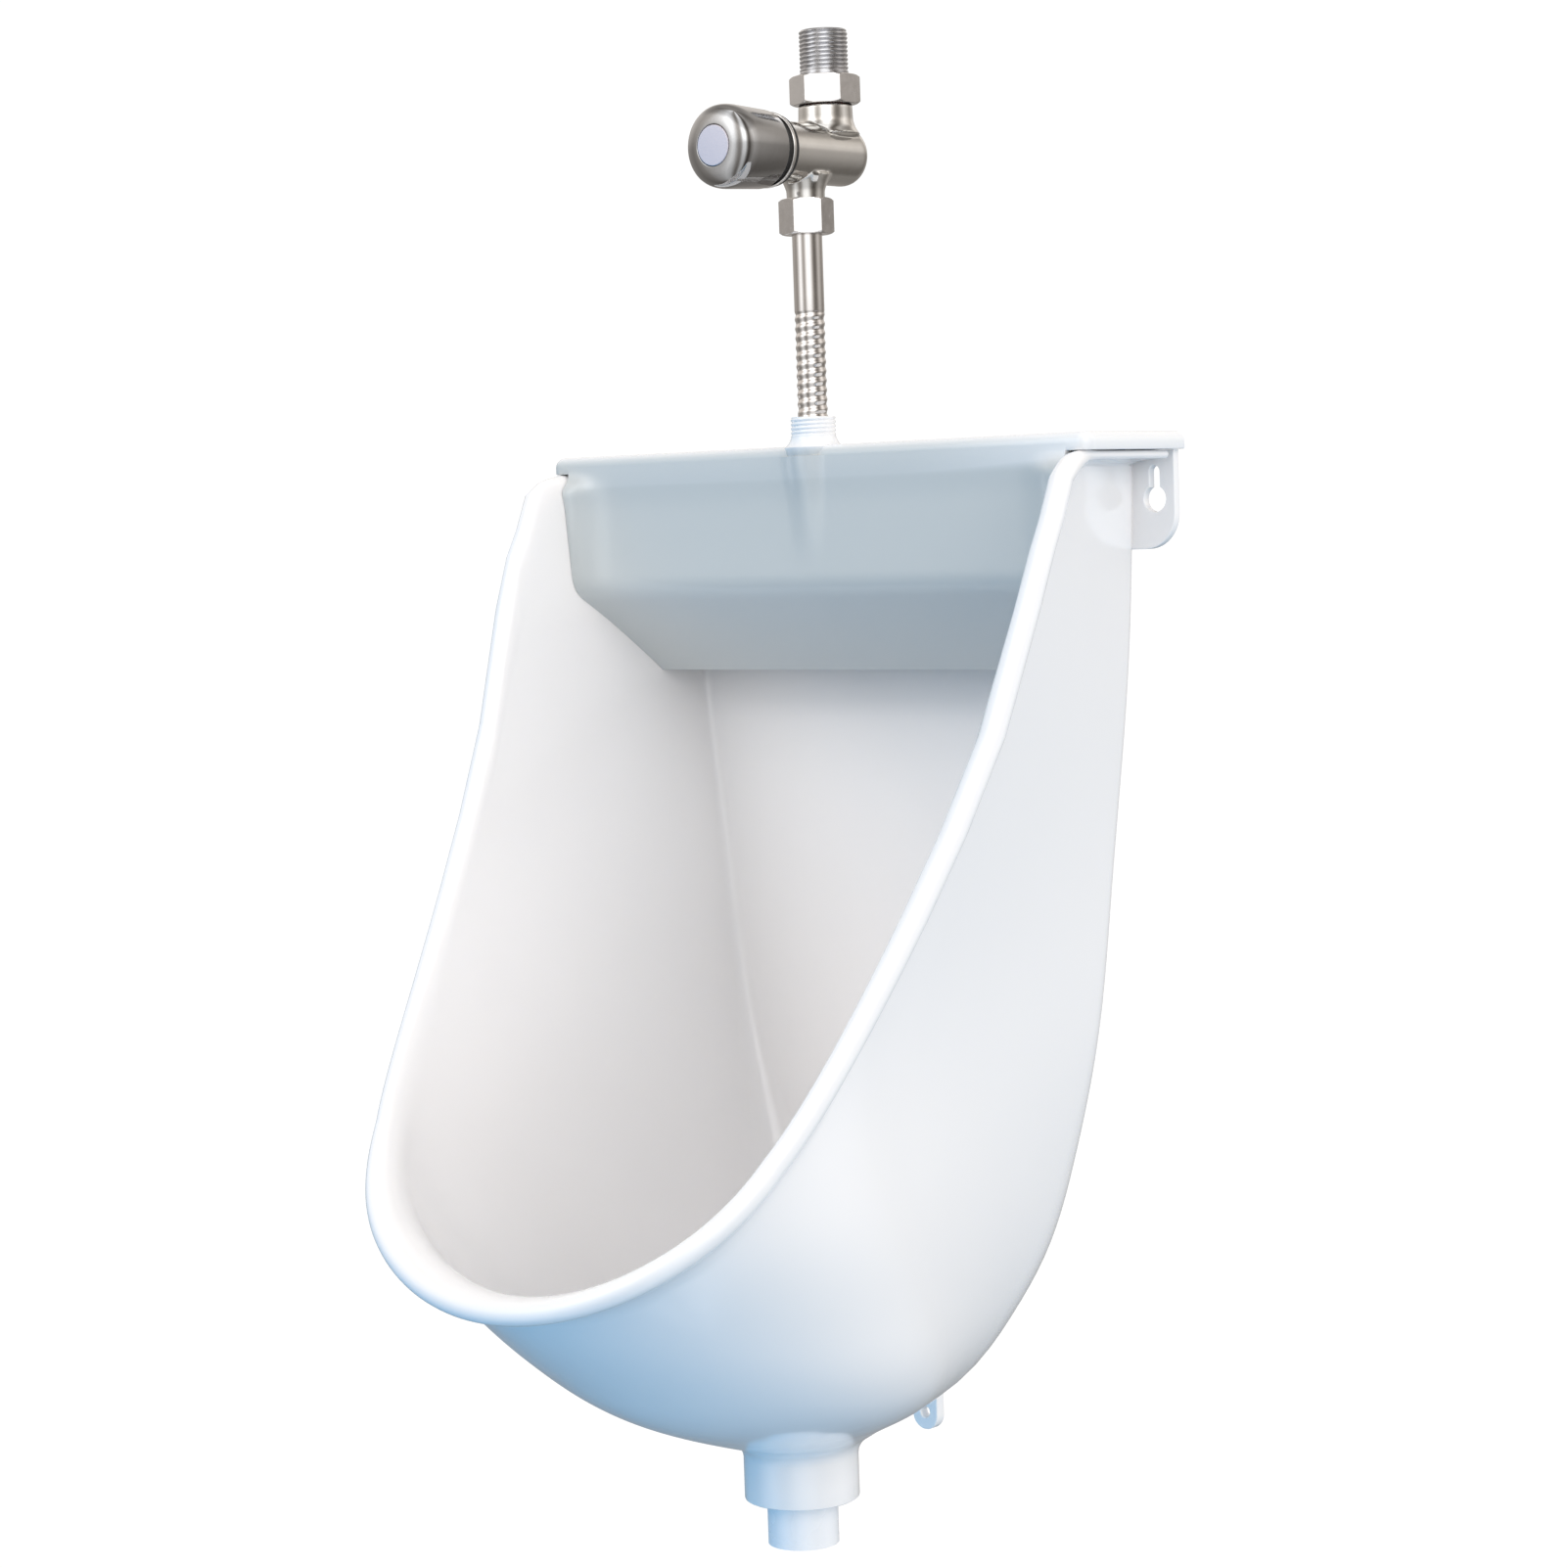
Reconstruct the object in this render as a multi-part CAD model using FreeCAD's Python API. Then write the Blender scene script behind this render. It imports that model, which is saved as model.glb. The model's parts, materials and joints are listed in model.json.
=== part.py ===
import FreeCAD, Part
import math
import os
from collections import namedtuple
from FreeCAD import Vector

# Wall hung urinal with a push flush valve on top. Millimetres.
# Origin: on the wall plane, midway between the two upper wall screws.
# +X runs to the right for someone facing the urinal, +Y into the wall, +Z up.

os.makedirs("parts", exist_ok=True)

X = Vector(1, 0, 0)
Y = Vector(0, 1, 0)
Z = Vector(0, 0, 1)

# ---------------------------------------------------------------- driving sizes

# bowl shell
top_above_screws = 28.0        # top of the cover above the wall screws
wall = 4.0                     # thickness of the moulded shell
floor_lift = 4.0               # how far the hollow is raised above the outer skin
section_depths = (0, 110, 190, 250, 295, 330, 357, 380, 400, 417, 430)   # the shell's sections
corner_points = 4              # points on the round back corner of each section
front_points = 8               # points on each half of its front curve
wall_gap = 0.4                 # the shell's back stands this far off the wall, on its ears
rim_radius = 5.0               # half thickness of the rolled rim
rim_out_side = 2.5             # rim centre line outside the side wall
rim_out_front = 16.5           # and outside the front wall, where the lip flares
rim_drop_front = 4.0           # how far the lip droops at the front
rim_sections = 20              # sections along each half of the rim
rim_sides = 6                  # flats round the rim's bead
rim_flare_half_width = 105.0   # half width over which the lip flares
flange_thickness = 3.5         # flange that carries the cover
cover_half_width = 150.0
cover_overhang = 3.0           # how far the cover reaches past the flange
ear_drop = 49.0                # lower end of the screw ears below the top
ear_thickness = 4.0
ear_corner_share = 0.5         # rounded corner as a share of the ear's width
screw_edge_distance = 10.0     # from the ear's outer edge to the upper wall screw
screw_head_hole_radius = 5.5   # round end of the keyhole
screw_slot_radius = 2.5        # narrow end of the keyhole
screw_slot_rise = 11.5         # centre of the narrow end above the round end
tab_width = 14.0               # lower screw tab
tab_thickness = 5.4
tab_end_depth = 444.0
tab_start_depth = 362.0
tab_hole_radius = 2.6
tab_hole_above_end = 8.0

# drain
drain_y = -93.0                # drain axis in front of the wall
drain_depth = 430.0            # where the bowl runs into the spigot
spigot_radius = 25.0
spigot_wall = 4.0
spigot_length = 24.2
spigot_overlap = 2.0           # how far the spigot runs up into the bowl
spigot_lead = 7.0              # height of the slight taper between the bowl and the spigot
spigot_taper = 0.4
neck_length = 10.2             # narrow neck between the reducer's socket and the strainer
neck_ledge = 2.0               # width of the ledges at the neck's ends
strainer_thickness = 2.0
strainer_gap = 0.4
strainer_brim = 4.5            # width of the strainer's low brim
strainer_rise = 2.5            # how far its middle stands above the brim
strainer_hole_radius = 2.4
strainer_hole_circle = 10.5
strainer_holes = 6
reducer_radius = 15.4          # small outlet spigot
reducer_wall = 2.2
reducer_length = 20.1          # beyond the big spigot's end
reducer_plug_length = 10.0
reducer_gap = 0.05
seal_thickness = 3.0           # sealing ring between the reducer's plug and the neck
seal_width = 3.0

# cover with the flush chamber
cover_depth = 69.7             # from the wall to the cover's front edge
cover_thickness = 7.5
cover_edge_round = 3.0
hood_wall = 3.0
hood_gap = 0.3                 # between the hood and the shell round it
hood_end_front = 74.5          # front edge of the hood's end cheeks
hood_face_front = 68.3         # front face between the cheeks
hood_crease_depth = 61.0       # where the front face turns back
hood_foot_depth = 98.5         # lower edge
hood_foot_front = 30.0         # and its distance from the wall
hood_fold_round = 9.0
hood_end_round = 36.0          # hollow rounding between the face and the cheeks
hood_cheek_edge = 1.6          # thickness of the cheek's front edge
slot_gap = 6.6                 # from the shell's inner wall to the hood's foot
slot_inset = 12.0              # each end of the flush slot stops short of the cheek's inner face

# inlet spud on the cover
spud_y = -61.7
spud_radius = 9.7
spud_bore_radius = 7.9
spud_height = 12.3
spud_boss_radius = 14.5
spud_boss_height = 2.2
spud_ridge_radius = 13.0       # half-round ridge on the hood's face below the spud
spud_ridge_length = 52.0
spud_ridge_lean = 14.0         # how far the ridge sinks back over its length
spud_ridge_end_radius = 6.0
spud_socket_depth = 14.0
throat_depth = 34.0            # lower end of the waterway that leads from the spud into the hood
throat_half_width = 5.0

# The heights of the pipe's end, the bosses, the nuts and the tailpiece follow the valve's axis.
valve_height = 125.0           # valve axis above the cover's top

# flush pipe
pipe_radius = 6.5
pipe_wall = 0.8
pipe_in_socket = 9.0           # how far the pipe reaches below the cover's top
pipe_top = valve_height - 24.0
groove_start = 13.0            # height above the cover's top where the rolled grooves begin
groove_length = 42.5
groove_depth = 0.4             # mean depth of the grooves, which screw round the pipe
spud_seal_length = 8.0
ferrule_radius = 9.0
ferrule_height = 3.0
outlet_washer_height = 1.6

# hexagon nuts
outlet_nut_bottom = valve_height - 34.7
outlet_nut_height = 15.4
outlet_nut_across = 20.6
outlet_nut_turn = 12.3         # how far each nut is screwed round, in degrees
union_nut_bottom = valve_height + 21.5
union_nut_height = 12.5
union_nut_across = 26.6
union_nut_turn = 4.8
nut_gap = 0.1

# valve body
valve_front = -83.5            # front face of the body
valve_back = -31.0             # rounded closed end
body_radius = 13.0
body_bore_radius = 9.5
body_end_wall = 5.0
body_end_round = 4.5
inlet_y = -46.5
inlet_boss_radius = 11.8
inlet_thread_radius = 10.4     # threaded end of the boss, inside the union nut
inlet_boss_top = valve_height + 25.0
outlet_boss_radius = 8.3
outlet_boss_bottom = valve_height - 21.4
waterway_radius = 5.5

# inlet tailpiece (half inch pipe thread outside)
tail_radius = 10.48
tail_bore_radius = 7.5
tail_top = valve_height + 53.5
tail_flange_radius = 11.4
tail_flange_height = 3.0
tail_neck_radius = 10.2        # plain neck inside the nut
tail_neck_end = valve_height + 35.0
inlet_washer_height = 2.0
filter_height = 1.2
filter_hole_circle = 4.6
filter_hole_radius = 1.5
filter_holes = 4

# bonnet, button and works
gasket_thickness = 1.7
gasket_radius = 15.4
bonnet_flange = 2.2
bonnet_flange_radius = 16.2
hub_radius = 11.5
hub_length = 10.0
sleeve_radius = 14.2
sleeve_length = 9.0
bonnet_plug_length = 14.0
bonnet_cup_radius = 7.6
bonnet_cup_depth = 12.5
bore_gap = 0.05                # running clearance of the stem and the piston
thread_gap = 0.1               # between the bonnet's plug and the body's bore
travel = 3.2                   # stroke of the button
travel_gap = travel + 0.4      # open gap behind the button at rest
knob_front_radius = 17.8
knob_back_radius = 16.6
knob_length = 28.0
knob_crown = 2.6
knob_shoulder = 4.5
knob_wall = 2.2
knob_sleeve_gap = 0.35
badge_radius = 8.6
badge_thickness = 1.2
badge_gap = 0.15
screw_radius = 2.0
screw_head_radius = 3.6
screw_head_height = 2.2
stem_radius = 3.0
stem_thread_depth = 9.0
o_ring_wire = 0.9
piston_length = 4.0
cup_seal_thickness = 1.6
seat_thickness = 3.0
seat_bore_radius = 5.0
seat_front = -54.5
washer_radius = 7.5
washer_thickness = 2.4
poppet_radius = 8.0
poppet_thickness = 2.6
spring_wire_radius = 0.45
spring_radius = 5.6
spring_turns = 4.5
spring_gap = 0.1
spring_sections = 12           # sections in each turn of the spring
spring_sides = 6               # sides of its wire

# Horizontal sections of the shell: one row for each station below the cover's top.
#   half_width     half width at the shoulder, where the front curve starts
#   back_half      half width at the wall
#   on_back, on_side   how far the back corner's curve reaches along each wall
#   shoulder, front, back   distances of shoulder, front and back from the wall plane
#   fullness       how square the front curve is
Station = namedtuple("Station", "depth half_width back_half on_back on_side shoulder front back fullness")
stations = [
    Station(0.0, 153.0, 126.5, 8.0, 8.0, 110.0, 285.0, 0.0, 0.62),
    Station(100.0, 143.0, 121.5, 8.0, 8.0, 130.0, 286.0, 0.0, 0.62),
    Station(190.0, 127.0, 111.0, 9.0, 9.0, 165.0, 286.0, 0.0, 0.63),
    Station(260.0, 114.5, 102.5, 12.0, 13.0, 180.0, 284.5, 0.0, 0.63),
    Station(315.0, 109.5, 91.0, 20.0, 24.0, 159.0, 275.0, 0.0, 0.63),
    Station(355.0, 101.0, 79.0, 36.0, 38.0, 129.0, 248.0, 0.4, 0.58),
    Station(385.0, 90.0, 62.0, 44.0, 52.0, 107.0, 214.0, 6.5, 0.56),
    Station(408.0, 66.0, 45.0, 38.0, 53.0, 94.0, 179.0, 26.0, 0.54),
    Station(422.0, 39.5, 32.0, 30.0, 44.0, 93.0, 143.0, 51.0, 0.55),
    Station(430.0, 26.0, 25.0, 24.0, 24.0, 93.0, 119.0, 67.0, 0.55),
]

# Side view of the opening's edge: distance from the wall, depth below the cover's top.
rim_profile = [
    (44.0, 9.3),
    (64.0, 9.6),
    (77.0, 14.0),
    (87.0, 25.0),
    (97.0, 45.0),
    (111.5, 86.0),
    (129.0, 127.5),
    (152.5, 169.5),
    (179.0, 210.5),
    (206.0, 249.0),
    (231.0, 282.5),
    (250.0, 308.0),
    (264.0, 331.0),
    (276.0, 356.0),
]

top_z = top_above_screws
valve_z = top_z + valve_height


def level(depth):
    """Height of a point that lies the given depth below the cover's top."""
    return top_z - depth


# ---------------------------------------------------------------- small helpers

def export(node, shape):
    if shape.ShapeType == "Compound" and len(shape.Solids) == 1:
        shape = shape.Solids[0]
    shape.exportStep("parts/" + node + ".step")
    print(node, "solids", len(shape.Solids), "valid", shape.isValid(), "volume", round(shape.Volume))


def rod(radius, start, axis, length):
    return Part.makeCylinder(radius, length, start, axis)


def pipe_piece(outer, inner, start, axis, length):
    return rod(outer, start, axis, length).cut(rod(inner, start, axis, length))


def box(x0, x1, y0, y1, z0, z1):
    return Part.makeBox(x1 - x0, y1 - y0, z1 - z0, Vector(x0, y0, z0))


def turned(points, centre, axis):
    """Solid of revolution of a closed outline given as (radius, distance along the axis)."""
    across = X if abs(axis.dot(X)) < 0.5 else Y
    corners = [centre + across * r + axis * d for r, d in points]
    face = Part.Face(Part.makePolygon(corners + corners[:1]))
    return face.revolve(centre, axis, 360)


def tapered(stops, start, axis):
    """Solid with round sections at (radius, distance along the axis) stops, straight between them."""
    rings = [Part.Wire(Part.Edge(Part.Circle(start + axis * d, axis, r))) for r, d in stops]
    return Part.makeLoft(rings, True, True)


def hexagon(across, turn, start, height):
    """Upright hexagonal prism, turned by the given angle from one flat facing the viewer."""
    corner = across / math.sqrt(3)
    angles = [math.radians(60 * k + turn) for k in range(7)]
    points = [start + Vector(corner * math.cos(a), corner * math.sin(a), 0) for a in angles]
    return Part.Face(Part.makePolygon(points)).extrude(Z * height)


# ---------------------------------------------------------------- shell sections

def natural_cubic(xs, ys, x):
    """Smooth curve through the points (xs, ys), read at x."""
    n = len(xs)
    second = [0.0] * n
    upper = [0.0] * n
    for i in range(1, n - 1):
        before = xs[i] - xs[i - 1]
        after = xs[i + 1] - xs[i]
        slope_change = (ys[i + 1] - ys[i]) / after - (ys[i] - ys[i - 1]) / before
        pivot = 2 * (before + after) - before * upper[i - 1]
        upper[i] = after / pivot
        second[i] = (6 * slope_change - before * second[i - 1]) / pivot
    for i in range(n - 2, 0, -1):
        second[i] -= upper[i] * second[i + 1]
    i = max(k for k in range(n - 1) if x >= xs[k] or k == 0)
    width = xs[i + 1] - xs[i]
    a = (xs[i + 1] - x) / width
    b = (x - xs[i]) / width
    bend = (a ** 3 - a) * second[i] + (b ** 3 - b) * second[i + 1]
    return a * ys[i] + b * ys[i + 1] + bend * width ** 2 / 6


def station_at(depth):
    depths = [s.depth for s in stations]
    values = [natural_cubic(depths, [s[k] for s in stations], depth) for k in range(1, len(Station._fields))]
    return Station(depth, *values)


def section_wire(depth, inset):
    """Closed section of the shell, drawn `inset` inside the outer skin."""
    s = station_at(depth)
    half = s.half_width - inset
    back_half = s.back_half - inset
    back = -max(s.back, 0.0) - wall_gap - inset
    front = -s.front + inset
    shoulder = -s.shoulder
    on_back = min(max(s.on_back - inset, 3.0), back_half - 1.0)
    side = Vector(half - back_half, shoulder - back, 0)
    on_side = min(max(s.on_side - inset, 3.0), side.Length - 1.0)
    side.normalize()
    reach = (shoulder - front) * s.fullness / abs(side.y)
    z = level(depth - (floor_lift if inset else 0.0))
    corner = Vector(back_half, back, z)
    edge = Vector(half, shoulder, z)
    right = bezier_points([Vector(back_half - on_back, back, z), corner, corner + side * on_side],
                          corner_points)
    right += bezier_points([edge, edge + side * reach, Vector(half * s.fullness, front, z),
                            Vector(0, front, z)], front_points)
    left = [Vector(-p.x, p.y, p.z) for p in reversed(right[:-1])]
    return Part.makePolygon(right + left + right[:1])


def bezier_points(poles, count):
    curve = Part.BezierCurve()
    curve.setPoles(poles)
    return curve.discretize(Number=count)


def shell_body(inset):
    """Closed solid of the shell's outside, or of its hollow when inset."""
    wires = [section_wire(depth, inset) for depth in section_depths]
    return Part.makeLoft(wires, True, True)


def profile_points():
    return [Vector(0, -y, level(d)) for y, d in rim_profile]


def opening_tool(reach):
    """Solid in front of and above the opening's edge, as wide as `reach` each side."""
    curve = Part.BSplineCurve()
    curve.interpolate(profile_points())
    first = curve.StartPoint
    last = curve.EndPoint
    far = Vector(0, last.y - 80, last.z)
    high = Vector(0, last.y - 80, first.z + 60)
    back = Vector(0, first.y, first.z + 60)
    outline = Part.Wire([curve.toShape(), Part.makeLine(last, far), Part.makeLine(far, high),
                         Part.makeLine(high, back), Part.makeLine(back, first)])
    face = Part.Face(outline)
    face.translate(X * -reach)
    return face.extrude(X * 2 * reach)


# ---------------------------------------------------------------- rim

def rim_edge_points(outer):
    """Points along the line where the opening's edge runs on the outer skin, right to left."""
    curve = Part.BSplineCurve()
    curve.interpolate(profile_points())
    sheet = curve.toShape()
    sheet.translate(X * -1)
    sheet = sheet.extrude(X * 2 * cover_half_width)
    cut = outer.section(sheet)
    edges = [e for e in cut.Edges if e.CenterOfMass.x > 0 and e.BoundBox.YMax < 0.5 - rim_profile[0][0]]
    line = Part.Wire(Part.__sortEdges__(edges))
    right = [p for p in line.discretize(Number=rim_sections) if p.x > 1.0]
    if right[0].x < right[-1].x:
        right.reverse()
    front = Vector(0, right[-1].y, right[-1].z)
    return right + [front] + [Vector(-p.x, p.y, p.z) for p in reversed(right)]


def bead_section(inner, centre, across, up, root_half):
    """Closed outline of the rim: flat web from the wall that ends in a round bead."""
    points = [inner - up * root_half]
    for k in range(rim_sides + 1):
        a = math.pi * (k / rim_sides - 0.5)
        points.append(centre + (across * math.cos(a) + up * math.sin(a)) * rim_radius)
    points.append(inner + up * root_half)
    return Part.makePolygon(points + points[:1])


def rim_solid(outer):
    edge = rim_edge_points(outer)
    wires = []
    for k in range(1, len(edge) - 1):
        p = edge[k]
        along = edge[k + 1] - edge[k - 1]
        outward = Vector(-along.y, along.x, 0)
        if outward.dot(Vector(p.x, p.y + 100, 0)) < 0:
            outward = outward * -1
        outward.normalize()
        flare = max(0.0, 1 - (p.x / rim_flare_half_width) ** 2) if p.y < -200 else 0.0
        out = rim_out_side + (rim_out_front - rim_out_side) * flare
        centre = p + outward * out - Z * (rim_drop_front * flare)
        inner = p - outward * (wall / 2)
        across = centre - inner
        across.normalize()
        up = along.cross(across)
        up.normalize()
        across = up.cross(along)
        across.normalize()
        if across.dot(outward) < 0:
            across = across * -1
        wires.append(bead_section(inner, centre, across, up, rim_radius - 0.5))
    return Part.makeLoft(wires, True, True)


# ---------------------------------------------------------------- bowl shell

def flange_half_width():
    return cover_half_width - cover_overhang


def screw_x():
    return flange_half_width() - screw_edge_distance


def keyhole(x):
    depth = ear_thickness + 2
    hole = rod(screw_head_hole_radius, Vector(x, 1, 0), Y * -1, depth)
    slot_top = rod(screw_slot_radius, Vector(x, 1, screw_slot_rise), Y * -1, depth)
    slot = box(x - screw_slot_radius, x + screw_slot_radius, 1 - depth, 1, 0, screw_slot_rise)
    return hole.fuse([slot_top, slot])


def side_box(side, inner, front, low, high):
    """Box from `inner` out to the flange's edge on one side, and from the wall to `front`."""
    x0, x1 = sorted((side * inner, side * flange_half_width()))
    return box(x0, x1, front, 0, low, high)


def ear(side):
    inner = station_at(ear_drop).back_half - wall
    plate = side_box(side, inner, -ear_thickness, level(ear_drop), level(cover_thickness))
    corner = [e for e in plate.Edges
              if abs(e.CenterOfMass.x - side * flange_half_width()) < 0.01
              and abs(e.CenterOfMass.z - level(ear_drop)) < 0.01]
    plate = plate.makeFillet((flange_half_width() - inner) * ear_corner_share, corner)
    return plate.cut(keyhole(side * screw_x()))


def flange(side):
    inner = station_at(cover_thickness).back_half - wall
    return side_box(side, inner, -rim_profile[1][0], level(cover_thickness + flange_thickness),
                    level(cover_thickness))


def lower_tab():
    end = level(tab_end_depth)
    round_centre = end + tab_width / 2
    plate = box(-tab_width / 2, tab_width / 2, -tab_thickness, 0, round_centre, level(tab_start_depth))
    plate = plate.fuse(rod(tab_width / 2, Vector(0, 0, round_centre), Y * -1, tab_thickness))
    hole = rod(tab_hole_radius, Vector(0, 1, end + tab_hole_above_end), Y * -1, tab_thickness + 2)
    return plate, hole


def spigot_end():
    """Middle of the big spigot's lower end."""
    return Vector(0, drain_y, level(drain_depth + spigot_length))


def ledge_height():
    """Height of the strainer's ledge above the spigot's end."""
    return reducer_plug_length + seal_thickness + neck_length


def spigot():
    """Outside of the big drain spigot with its slight taper up to the bowl."""
    height = spigot_length + spigot_overlap
    return turned(
        [(0, 0), (spigot_radius, 0), (spigot_radius, height - spigot_lead),
         (spigot_radius + spigot_taper, height), (0, height)],
        spigot_end(), Z)


def spigot_bore():
    """Waterway through the spigot: strainer recess, narrow neck and the reducer's socket."""
    bore = spigot_radius - spigot_wall
    recess = rod(bore, spigot_end() + Z * ledge_height(), Z, 2 * spigot_length)
    neck = rod(bore - neck_ledge, spigot_end(), Z, ledge_height() + 1)
    socket = rod(bore, spigot_end() - Z, Z, reducer_plug_length + seal_thickness + 1)
    return recess.fuse([neck, socket])


def bowl_shell(outer):
    tab, tab_hole = lower_tab()
    shell = outer.fuse([spigot(), tab, ear(-1), ear(1)])
    shell = shell.cut(opening_tool(2 * cover_half_width))
    shell = shell.fuse([rim_solid(outer), flange(-1), flange(1)])
    shell = shell.cut(shell_body(wall))
    lid_space = box(-2 * cover_half_width, 2 * cover_half_width, -2 * cover_half_width, wall,
                    level(cover_thickness), level(-2 * cover_thickness))
    shell = shell.cut(lid_space)
    return shell.cut(spigot_bore()).cut(tab_hole)


# ---------------------------------------------------------------- cover and hood

def hood_outline(inset, front_line):
    """Side view of the hood as a closed face, drawn `inset` inside its outside."""
    fold = hood_crease_depth
    foot = hood_foot_depth - inset
    slope = (front_line - hood_foot_front) / (hood_foot_depth - fold)
    lean = inset * math.hypot(1, slope)
    points = [
        Vector(0, -wall - hood_gap, level(cover_thickness - 1)),
        Vector(0, -front_line + inset, level(cover_thickness - 1)),
        Vector(0, -front_line + inset, level(fold - inset * slope * 0.5)),
        Vector(0, -hood_foot_front + lean - inset * slope, level(foot)),
        Vector(0, -wall - slot_gap, level(foot)),
        Vector(0, -wall - slot_gap, level(hood_foot_depth - hood_wall)),
        Vector(0, -wall - hood_gap, level(hood_foot_depth - hood_wall)),
    ]
    return Part.Face(Part.makePolygon(points + points[:1]))


def hood_block(inset, front_line, reach, fold_round):
    face = hood_outline(inset, front_line)
    face.translate(X * -reach)
    solid = face.extrude(X * 2 * reach)
    fold_z = level(hood_crease_depth)
    folds = [e for e in solid.Edges
             if abs(e.Length - 2 * reach) < 0.01
             and abs(e.CenterOfMass.z - fold_z) < 8
             and e.CenterOfMass.y < -front_line + inset + 1]
    return solid.makeFillet(fold_round, folds)


def hood_recess(reach):
    """Tool that hollows the front of the hood back to the face between its cheeks."""
    deep = hood_face_front + 2 * hood_end_round
    foot_slope = (hood_face_front - hood_foot_front) / (hood_foot_depth - hood_crease_depth)
    low = hood_foot_depth + wall
    points = [
        Vector(-reach, -hood_face_front, level(cover_thickness)),
        Vector(-reach, -hood_face_front, level(hood_crease_depth)),
        Vector(-reach, -hood_face_front + foot_slope * (low - hood_crease_depth), level(low)),
        Vector(-reach, -deep, level(low)),
        Vector(-reach, -deep, level(cover_thickness)),
    ]
    tool = Part.Face(Part.makePolygon(points + points[:1])).extrude(X * 2 * reach)
    folds = [e for e in tool.Edges
             if abs(e.Length - 2 * reach) < 0.01
             and abs(e.CenterOfMass.z - level(hood_crease_depth)) < 1
             and e.CenterOfMass.y > -hood_face_front - 1]
    tool = tool.makeFillet(hood_fold_round, folds)
    ends = [e for e in tool.Edges
            if abs(abs(e.CenterOfMass.x) - reach) < 0.01
            and e.CenterOfMass.y > -hood_face_front - 1
            and e.BoundBox.ZMax <= level(cover_thickness) + 0.1
            and e.BoundBox.YMin > -hood_face_front - 1]
    return tool.makeFillet(hood_end_round, ends)


def cover_plate():
    plate = box(-cover_half_width, cover_half_width, -cover_depth, 0, level(cover_thickness), level(0))
    upright = [e for e in plate.Edges
               if abs(e.Length - cover_thickness) < 0.01 and e.CenterOfMass.y < -1]
    plate = plate.makeFillet(cover_edge_round * 1.5, upright)
    front = [e for e in plate.Edges
             if abs(e.CenterOfMass.z - level(0)) < 0.01 and e.CenterOfMass.y < -1]
    return plate.makeFillet(cover_edge_round, front)


def spud():
    """Threaded inlet stub, its boss and the half-round ridge that fades out down the hood's face."""
    top = Vector(0, spud_y, level(0))
    root = cover_thickness / 2
    stub = rod(spud_radius, top - Z * root, Z, spud_height + root)
    boss = tapered([(spud_boss_radius, -root), (spud_boss_radius, 0), (spud_radius, spud_boss_height)], top, Z)
    along = Vector(0, spud_ridge_lean, -spud_ridge_length)
    ridge = Part.makeCone(spud_ridge_radius, spud_ridge_end_radius, along.Length, top - Z * root, along)
    return stub.fuse([boss, ridge])


def hood_waterway():
    """Socket for the pipe and the passage from it into the chamber."""
    throat_radius = pipe_radius - pipe_wall
    high = level(-spud_height) + 1
    well = rod(spud_bore_radius, Vector(0, spud_y, level(spud_socket_depth)), Z, high - level(spud_socket_depth))
    throat = rod(throat_radius, Vector(0, spud_y, level(throat_depth)), Z, high - level(throat_depth))
    chute = box(-throat_half_width, throat_half_width, spud_y, spud_y + 2 * spud_boss_radius,
                level(throat_depth), level(spud_socket_depth + hood_wall))
    return well.fuse([throat, chute])


def flush_hood():
    cheek_inset = wall + hood_gap
    outside = hood_block(0.0, hood_end_front, 2 * cover_half_width, hood_fold_round)
    outside = outside.common(shell_body(cheek_inset))
    mouth = cheek_half_width(hood_end_front) - hood_cheek_edge
    outside = outside.cut(hood_recess(mouth))
    inside = hood_block(hood_wall, hood_face_front, 2 * cover_half_width, hood_fold_round - hood_wall)
    inside = inside.common(shell_body(cheek_inset + hood_wall))
    lid = box(-2 * cover_half_width, 2 * cover_half_width, -2 * cover_depth, 0,
              level(cover_thickness), level(-cover_thickness))
    inside = inside.cut(lid)
    hood = outside.fuse([cover_plate(), spud()])
    slot_half = station_at(hood_foot_depth).back_half - cheek_inset - hood_wall - slot_inset
    slot = box(-slot_half, slot_half, -wall - slot_gap, 0, level(hood_foot_depth + wall),
               level(cover_thickness + hood_wall))
    wall_room = box(-2 * cover_half_width, 2 * cover_half_width, -cheek_inset - wall_gap, 0,
                    level(hood_foot_depth + wall), level(cover_thickness))
    return hood.cut(wall_room).cut(inside).cut(slot).cut(hood_waterway()).removeSplitter()


def cheek_half_width(front):
    """Half width of the hood at a distance from the wall, just inside the shell's side walls."""
    s = station_at(hood_crease_depth)
    spread = (s.half_width - s.back_half) / (s.shoulder - wall_gap)
    return s.back_half + spread * front - wall - hood_gap


# ---------------------------------------------------------------- drain pieces

def drain_strainer():
    """Perforated disc with a raised middle on a low brim."""
    centre = spigot_end() + Z * ledge_height()
    radius = spigot_radius - spigot_wall - strainer_gap
    middle = radius - strainer_brim
    brim = rod(radius, centre, Z, strainer_thickness)
    crown = rod(middle, centre, Z, strainer_thickness + strainer_rise)
    hollow = rod(middle - strainer_thickness, centre - Z, Z, strainer_rise + 1)
    holes = [rod(strainer_hole_radius, centre, Z, 2 * strainer_thickness + strainer_rise)]
    for k in range(strainer_holes):
        a = 2 * math.pi * k / strainer_holes
        spot = centre + Vector(math.cos(a), math.sin(a), 0) * strainer_hole_circle
        holes.append(rod(strainer_hole_radius, spot, Z, 2 * strainer_thickness + strainer_rise))
    return brim.fuse(crown).cut(hollow).cut(holes[0].fuse(holes[1:])).removeSplitter()


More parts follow.
